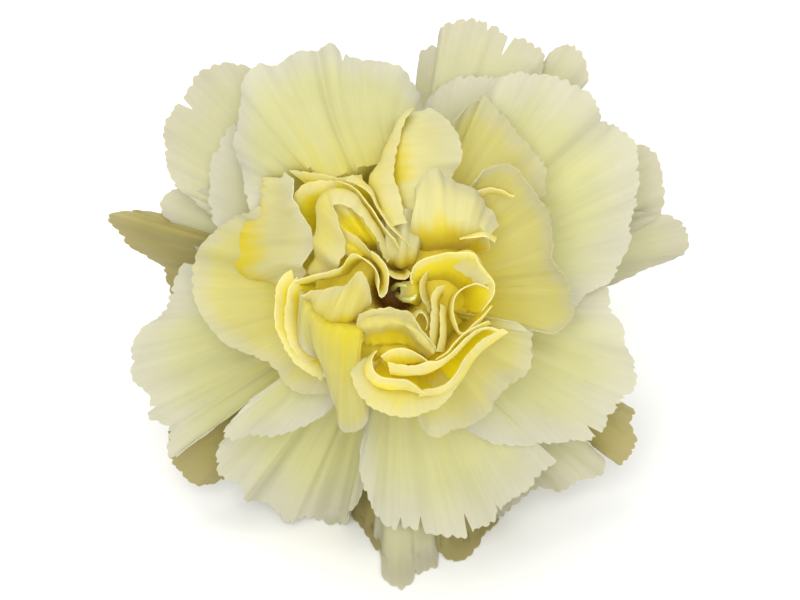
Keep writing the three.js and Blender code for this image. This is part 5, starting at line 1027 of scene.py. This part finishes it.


# ---- Heart petals. The youngest and smallest, crowded round the pit and folded into ribbons, scrolls
# ---- and pockets. They are the deepest yellow, with pale rims.
# The deep yellow that fills these petals up to their pale rims is partly their own colour and partly
# painted shade of the pockets between them.
heart_skin = petal_skin("heart_petal_skin", "#FFF540", "#FCF484", "#F9F4C2", yellow=(0.76, 1.0),
                        border=2.3, shine_through=0.56)
HEART_HABIT = dict(teeth=0.35, curl=-0.6)
HEART_PETALS = [
    dict(name="band_top", claw=(-5.4, 5.6, 9),
        rows=[[(-8.4, 12.8, 18.6), (-9.8, 13, 18.7), (-11.2, 12.8, 18.4), (-12.3, 11.8, 17.9),
               (-12.4, 10, 17.2), (-11.8, 8.2, 16.8), (-11, 6.6, 16.4)]],
        margin=[(-7, 14.6, 19.6), (-8.4, 14.5, 20), (-9.8, 14.6, 20), (-11.2, 14.4, 19.8),
                (-12.6, 14, 19.4), (-13.6, 13, 18.6), (-13.5, 11, 18), (-12.9, 9, 17.6),
                (-12.2, 7.4, 17.2), (-11.4, 6, 17)]),
    dict(name="band_top_2", claw=(-4.6, 5.8, 9),
        rows=[[(-4.2, 13.4, 17.9), (-6, 14, 18.2), (-8, 14.2, 18), (-10, 14.4, 17.5),
               (-12.2, 14.6, 16.6)]],
        margin=[(-4.2, 15.8, 18.2), (-5.6, 15.6, 18.8), (-7.2, 15, 19.2), (-8.8, 15.4, 19),
                (-10.6, 15.8, 18.6), (-12.6, 15.8, 18), (-14.4, 15.6, 17.2)]),
    dict(name="fold_ray_1", claw=(-3.6, 6, 10),
        rows=[[(0.2, 4.8, 19.5), (-0.6, 6.4, 20.9), (-1.4, 8, 21.8), (-2.3, 9.6, 22.2),
               (-3.6, 11.2, 22.2), (-5, 12.8, 21.9), (-6.4, 14, 21.3), (-8, 14.6, 20.3)]],
        margin=[(0.5, 4.3, 21.2), (-0.3, 5.8, 22.4), (-1.2, 7.4, 23.4), (-2.2, 9.1, 24), (-3.5, 11, 24),
                (-4.9, 12.6, 23.6), (-6.2, 13.6, 22.8), (-7.6, 14.2, 21.6)]),
    dict(name="arch_step_1", claw=(-2, 4.4, 11),
        folds=[(0.2, -0.5, 0.05), (0.34, 0.5, 0.05), (0.46, -0.5, 0.04), (0.58, 0.6, 0.05),
               (0.72, -0.5, 0.05)],
        curl=-0.1,
        rows=[[(-2.4, 6.6, 20.8), (-3.4, 7.2, 21), (-4.2, 7.2, 21.2), (-4.6, 6.6, 21.2), (-4.7, 6, 21),
               (-4.5, 5.4, 20.8), (-4, 4.8, 20.6)]],
        margin=[(-3.6, 9.4, 22.2), (-5.4, 11.2, 22.6), (-7.2, 12, 22.8), (-8.8, 11.6, 22.8),
                (-8.8, 9.8, 22.8), (-8.4, 8, 22.4), (-8, 6.4, 21.8), (-7.4, 5, 21)]),
    dict(name="arch_step_2", claw=(-4.5, 4, 11),
        curl=-0.1,
        rows=[[(-6.9, 6, 20.6), (-5.8, 5.8, 20.8), (-4.9, 5.4, 20.8), (-4, 4.9, 20.6), (-3.1, 4.4, 20.3),
               (-2.2, 3.9, 20)]],
        margin=[(-7.4, 8.5, 22.7), (-6.4, 8.1, 22.9), (-5.2, 7.3, 22.8), (-4.2, 6.5, 22.5),
                (-3.2, 5.6, 22), (-2, 4.7, 21.4)]),
    dict(name="ribbon_left", claw=(-4, 3, 11),
        curl=-0.25,
        rows=[[(-13, 1.1, 19.2), (-11, 1.7, 20.1), (-9, 1.9, 20.7), (-7.4, 2.5, 21.2), (-6.2, 3.8, 21.6),
               (-4.9, 4.6, 21.8), (-3.9, 4.3, 22.1), (-3, 3.5, 22.1), (-2.5, 2.5, 22), (-2.4, 1.4, 21.8),
               (-2.3, 0.6, 21.5), (-1.9, 0.3, 21.4), (-1.5, 0.8, 21.6), (-1.4, 1.8, 21.9),
               (-1.6, 2.8, 22.1), (-2.2, 3.8, 22.1), (-3, 4.6, 22)]],
        margin=[(-13.6, 1.9, 20.6), (-11.4, 2.5, 21.6), (-9, 2.7, 22.4), (-7.2, 3.4, 23),
                (-6.5, 4.7, 23.4), (-5.8, 5.4, 23.8), (-4.9, 5.4, 24.2), (-3.9, 4.8, 24.5),
                (-2.9, 3.8, 24.5), (-2.25, 2.6, 24.3), (-2.05, 1.2, 24), (-2.1, 0.1, 23.6),
                (-1.8, -0.7, 23.2), (-1.4, -0.3, 23.4), (-1.15, 1, 24), (-1.2, 2.2, 24.4),
                (-1.6, 3.4, 24.6), (-2.4, 4.6, 24.5), (-3.3, 5.4, 24.2)]),
    dict(name="rim_left_outer", claw=(-6, -2.5, 9),
        rows=[[(-13.2, 1, 17.8), (-14.4, 0, 17.6), (-14.9, -2, 17.3), (-14.6, -4.6, 17.1),
               (-13.6, -6.8, 16.9), (-12.3, -8.5, 16.4), (-10.6, -9.8, 15.4), (-9.2, -10.8, 14)]],
        margin=[(-13.6, 2.7, 19.4), (-14.9, 1.4, 19.3), (-15.7, -0.8, 19), (-15.9, -3.2, 18.7),
                (-15.4, -5.6, 18.4), (-14.4, -7.6, 18), (-13.2, -9.4, 17.2), (-11.5, -10.9, 16),
                (-9.8, -12, 14.4)]),
    dict(name="rim_left", claw=(-6, -2.5, 10),
        rows=[[(-12.6, 0.6, 19), (-13.3, -0.6, 18.7), (-13.4, -2.4, 18.3), (-13.2, -4.4, 18.1),
               (-12.9, -6, 17.6), (-12, -7.6, 16.8), (-10.6, -8.8, 15.4), (-9.6, -9.6, 14.2)]],
        margin=[(-12.9, 1.7, 20.6), (-14, 0.6, 20.4), (-14.4, -1.6, 20), (-14.3, -4, 19.6),
                (-14, -6, 19.2), (-13.5, -7.6, 18.4), (-12.6, -9, 17.2), (-11.2, -10.1, 15.8),
                (-9.9, -10.8, 14.4)]),
    dict(name="fold_top_left", claw=(-2.4, 6, 10),
        rows=[[(2, 5.4, 19.8), (1.2, 6.8, 20.8), (0.3, 8, 21.7), (-0.6, 9, 22.2), (-1.4, 10.2, 22.3),
               (-2.2, 11.4, 22.3), (-2.8, 12.6, 22.2), (-3.5, 13.8, 21.8), (-4.4, 14.7, 21.3),
               (-5.6, 15.6, 20.3)]],
        margin=[(1.9, 4.5, 21), (1.2, 6, 22), (0.2, 7.2, 22.8), (-0.9, 8.4, 23.2), (-1.9, 10, 23.3),
                (-2.7, 11.2, 23.3), (-3.4, 12.3, 23.2), (-4.2, 13.1, 23), (-5.2, 13.8, 22.5),
                (-6.6, 14.6, 21.5)]),
    dict(name="hole_rim_top", claw=(-0.9, 3.9, 11),
        rows=[[(-2.6, 5, 18.5), (-1.8, 3.8, 18.5), (-0.9, 3, 18.5), (0.2, 2.6, 18.5), (1.2, 2.5, 18.5),
               (1.7, 3.1, 18.5)]],
        margin=[(-2.6, 5.6, 22.4), (-1.8, 4.2, 22.4), (-0.8, 2.9, 22.2), (0.4, 2.25, 22), (1.3, 2.1, 22),
                (1.8, 2.8, 22.2)]),
    dict(name="pocket_rim_right", claw=(8, 4.8, 9),
        rows=[[(8.4, 6.6, 17), (10, 7.4, 17), (11.6, 7.8, 17), (13.2, 7.4, 17)]],
        margin=[(8.6, 7.4, 22.6), (10, 7.9, 23), (11.4, 8.3, 23), (12.8, 8.1, 22.2), (13.8, 7, 21)]),
    dict(name="small_rim_right", claw=(6.5, 4.5, 9),
        rows=[[(15.3, 12, 12), (14, 12.5, 12), (12.6, 12.6, 12.2), (11.5, 12.3, 12.6)]],
        margin=[(16, 12.7, 16.6), (14.6, 13.2, 17.2), (13, 13.3, 17.6), (11.4, 12.8, 18)]),
    dict(name="ribbon_right", claw=(6, 0.4, 10),
        rows=[[(3.4, 1.3, 18.5), (3.8, 1.7, 19), (4.4, 2, 19.4), (5.4, 2.3, 19.6), (6.6, 2.4, 19.6),
               (7.8, 2.2, 19.6), (9, 1.6, 19.4), (9.8, 1, 19.2), (10.3, 0.4, 19), (10.8, -0.2, 18.8),
               (11, -1, 18.4), (10.8, -1.8, 18), (10.4, -2.6, 17.8)]],
        margin=[(1.7, 1.1, 22.8), (1.5, 2, 23.3), (1.8, 3, 23.8), (2.6, 4.1, 24.1), (3.8, 4.8, 24.3),
                (5.5, 5.3, 24.2), (8, 5.8, 23.9), (10, 5.9, 23.5), (11.1, 5.4, 23.1), (11.6, 4.2, 22.8),
                (12.4, 2.9, 22.4), (13.4, 1.6, 22), (13.7, 0, 21.6), (13.3, -1.4, 21.1),
                (12.4, -2.8, 20.4)]),
    dict(name="loop_right", claw=(7.6, -2, 10),
        rows=[[(12.2, 0.5, 20), (10.8, 0.9, 20.2), (9.2, 0.6, 20.4), (8, -0.6, 20.5), (7.6, -2.4, 20.4),
               (7.8, -4.2, 20.3), (8.8, -5.8, 20), (10.4, -5, 19.8), (11.8, -3.4, 19.6),
               (12.8, -1.8, 19.6)]],
        margin=[(12.3, -0.1, 21.6), (11, 0.4, 21.8), (9.6, 0, 22), (8.7, -0.9, 22.1), (8.3, -2.4, 22),
                (8.4, -3.8, 21.8), (9, -5.2, 21.4), (10, -4.2, 21.2), (11.4, -2.7, 21),
                (12.4, -1.4, 21)]),
    dict(name="edge_0", claw=(4.6, -0.6, 10),
        rows=[[(4.4, 2.2, 17.5), (4.2, 1, 17), (4.4, -0.4, 16.8), (4.8, -1.8, 17), (5.2, -3, 17)]],
        margin=[(4.9, 2.6, 21.4), (4.3, 1.8, 21.6), (3.9, 0.8, 21.4), (4.1, -0.4, 21), (4.9, -1.4, 20.6),
                (5.2, -2.6, 20.2)]),
    dict(name="curl_green", claw=(3, -0.3, 11),
        curl=0,
        rows=[[(3.6, 1.2, 16), (3.9, 0.2, 16), (3.8, -0.9, 16), (3.2, -1.8, 16)],
              [(2.6, 1.5, 19.6), (2.9, 0.5, 20.2), (2.8, -0.6, 20.2), (2.2, -1.5, 19.6)]],
        margin=[(0.9, 1.3, 18.6), (0.7, 0.5, 19), (0.6, -0.4, 19), (0.8, -1.4, 18.4)]),
    dict(name="loop_small", claw=(3.6, -3.6, 11),
        rows=[[(2.8, -4.6, 17), (2.6, -3.4, 17), (3, -2.8, 17), (3.8, -2.8, 17), (4.4, -3.6, 17),
               (4.5, -4.8, 17)]],
        margin=[(2.2, -4.4, 20.8), (2.2, -3.2, 21.4), (2.8, -2.4, 21.6), (3.7, -2.2, 21.6),
                (4.4, -2.8, 21.4), (4.7, -4, 21.2), (4.5, -5.2, 20.8)]),
    dict(name="edge_1", claw=(5.8, -2.6, 10),
        rows=[[(6.6, 0, 20), (6, -0.4, 20.4), (5.7, -1.2, 20.4), (5.8, -2.6, 20.3), (5.8, -4.4, 20.2),
               (5.7, -6, 20.1), (5.4, -7.4, 19.9)]],
        margin=[(6.9, 0.6, 21.4), (5.9, 0.4, 22), (5.35, -0.6, 22), (5.5, -2, 21.9), (5.5, -4, 21.7),
                (5.4, -6, 21.5), (5.2, -7.6, 21.2)]),
    dict(name="edge_2", claw=(6.6, -4, 10),
        rows=[[(6.8, -2, 20), (6.8, -3.4, 20.2), (6.9, -5, 20.2), (6.9, -6.4, 20), (6.6, -8, 19.8)]],
        margin=[(6.4, -1.6, 21.4), (6.3, -3, 21.6), (6.5, -4.8, 21.6), (6.6, -6.4, 21.4),
                (6.2, -8.2, 21)]),
    dict(name="ribbon_low_0", claw=(6.4, -4.4, 10),
        rows=[[(6, -9, 19.7), (7.2, -8, 20), (8.2, -6.8, 20.1), (9.4, -5.9, 20.1), (11, -5, 19.8),
               (12.8, -4.2, 19.3)]],
        margin=[(5.2, -8.6, 21.2), (6.4, -7.6, 21.7), (7.4, -6.4, 21.8), (8.6, -5.5, 21.7),
                (10.2, -4.5, 21.3), (12.4, -3.6, 20.6)]),
    dict(name="scroll_lip", claw=(2, -6.5, 10),
        rows=[[(-1.2, -9.3, 18.8), (-0.3, -9.5, 18.8), (1, -9.6, 18.9), (2.4, -9.5, 19),
               (3.8, -9.4, 19.2), (4.8, -9.6, 19.4)]],
        margin=[(-2, -8.3, 21), (-0.8, -7.6, 21.6), (0.8, -7.2, 21.9), (2.2, -7.3, 21.9),
                (3.6, -8, 21.6), (4.8, -8.9, 21.2)]),
    dict(name="scroll", claw=(1.5, -6.5, 9.5),
        rows=[[(-2.6, -8, 19.4), (-3.9, -9.4, 19.2), (-4, -11, 19), (-2.8, -12.4, 18.8),
               (-0.8, -13, 18.7), (1.4, -13, 18.6), (3.2, -13.5, 18.4)]],
        margin=[(-1.9, -8.4, 20.6), (-2.6, -9.2, 20.6), (-2.6, -10.3, 20.4), (-1.8, -11.1, 20.2),
                (-0.2, -11.4, 20), (1.6, -11.5, 19.9), (3, -12.2, 19.7), (4.3, -13.2, 19.3)]),
    dict(name="ribbon_low_1", claw=(4, -6, 10),
        rows=[[(-0.6, -11, 19.6), (1, -11.2, 19.8), (2.8, -11.1, 20), (4.6, -10.8, 20.2),
               (6.2, -10, 20.4), (7.4, -8.9, 20.5), (8.8, -7.5, 20.4), (10.2, -6.1, 20.1),
               (11.8, -5, 19.7), (13.5, -5, 19.4)]],
        margin=[(-0.9, -9.2, 20.6), (0.8, -9.5, 20.9), (2.8, -9.5, 21.1), (4.4, -9, 21.4),
                (5.8, -8.8, 21.6), (6.9, -8.1, 21.6), (8, -7, 21.6), (9.4, -5.8, 21.4), (11, -4.8, 21),
                (12.5, -4.3, 20.6), (14, -4.6, 20)]),
    dict(name="ribbon_low_2", claw=(5, -5.8, 9),
        rows=[[(3.2, -14, 18.2), (5, -13.8, 18.3), (7, -13.2, 18.5), (8.8, -11.9, 18.7),
               (9.9, -10.2, 18.9), (11, -8.6, 18.8), (12.4, -7.2, 18.6), (13.8, -6.2, 18.4),
               (15.2, -5.4, 18.1)]],
        margin=[(3.8, -12.9, 19.2), (5.4, -12.6, 19.5), (6.8, -11.9, 19.8), (7.9, -10.7, 20),
                (8.7, -9.1, 20.1), (9.9, -7.6, 20), (11.4, -6.2, 19.7), (12.9, -5.4, 19.3),
                (14.3, -4.8, 18.9)]),
]
for form in HEART_PETALS:
    petal_piece(skins=(heart_skin, heart_skin), **(HEART_HABIT | form))


# ---- Styles. Two pale green threads, smooth and moist, that rise from the pit and curl over between
# ---- the heart petals. They taper to a blunt tip.
STYLE_RADIUS = 0.45
STYLE_TIP_RADIUS = 0.28
STYLE_SIDES = 16
STYLE_ROWS = 48
STYLE_TAPER = 1.5              # above 1 it tapers mostly near its tip
STYLE_END = 1 / 14             # share of the length over which the tip rounds off
STYLE_END_SHARE = 0.02         # the last ring's share of the section's area
STYLE_ROUTES = [
    [(0.2, -0.1, 7), (0.3, -0.3, 12), (0.6, -0.6, 17), (1.4, -1, 20), (2.4, -0.9, 21.2),
     (3, -0.1, 20.6)],
    [(-0.2, 0.1, 7), (-0.2, 0.4, 12), (0, 0.7, 16.5), (0.5, 1, 18.8), (1.5, 0.8, 19.4), (2, 0.3, 18.4)],
]
ASIDE = (0.3, -1.0, 0.2)       # along no part of either style

# Style tissue: pale and moist, so a little glossy, with a fine grain, and light sinks into it.
style_skin, tree = new_material("style_skin")
grain = node(tree, "ShaderNodeTexNoise", {
    "Vector": axis_pattern(tree, 0.35, 0.9), "Scale": 1.0, "Detail": 3.0})
green = node(tree, "ShaderNodeMix", {
    MIX_FROM: linear("#DCE0A0"), MIX_TO: linear("#C2C86E"), MIX_SHARE: grain.outputs[0]},
    data_type="RGBA")
relief = node(tree, "ShaderNodeBump", {
    "Height": grain.outputs[0], "Strength": 0.3, "Distance": 0.1 * MM})
shade = node(tree, "ShaderNodeBsdfPrincipled", {
    "Base Color": green.outputs[MIXED], "Roughness": 0.42, "IOR": 1.38, "Normal": relief.outputs[0],
    "Subsurface Weight": 0.3, "Subsurface Scale": 0.6 * MM})
node(tree, "ShaderNodeOutputMaterial", {"Surface": shade.outputs[0]})

share = np.linspace(0, 1, STYLE_ROWS)
radius = STYLE_RADIUS + (STYLE_TIP_RADIUS - STYLE_RADIUS) * share ** STYLE_TAPER
radius *= np.sqrt(np.clip((1 - share) / STYLE_END, STYLE_END_SHARE, 1))
turn = circle(STYLE_SIDES)[None, :, None]
for number, route in enumerate(STYLE_ROUTES):
    line = smooth_curve(route, share)
    way = unit(np.gradient(line, axis=0))
    side = unit(np.cross(way, ASIDE))
    outward = np.cos(turn) * side[:, None] + np.sin(turn) * np.cross(way, side)[:, None]
    style = tube_piece(f"style_{number + 1}", line[:, None] + outward * radius[:, None, None],
                       [style_skin])
    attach(style, "root")
    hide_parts("styles")
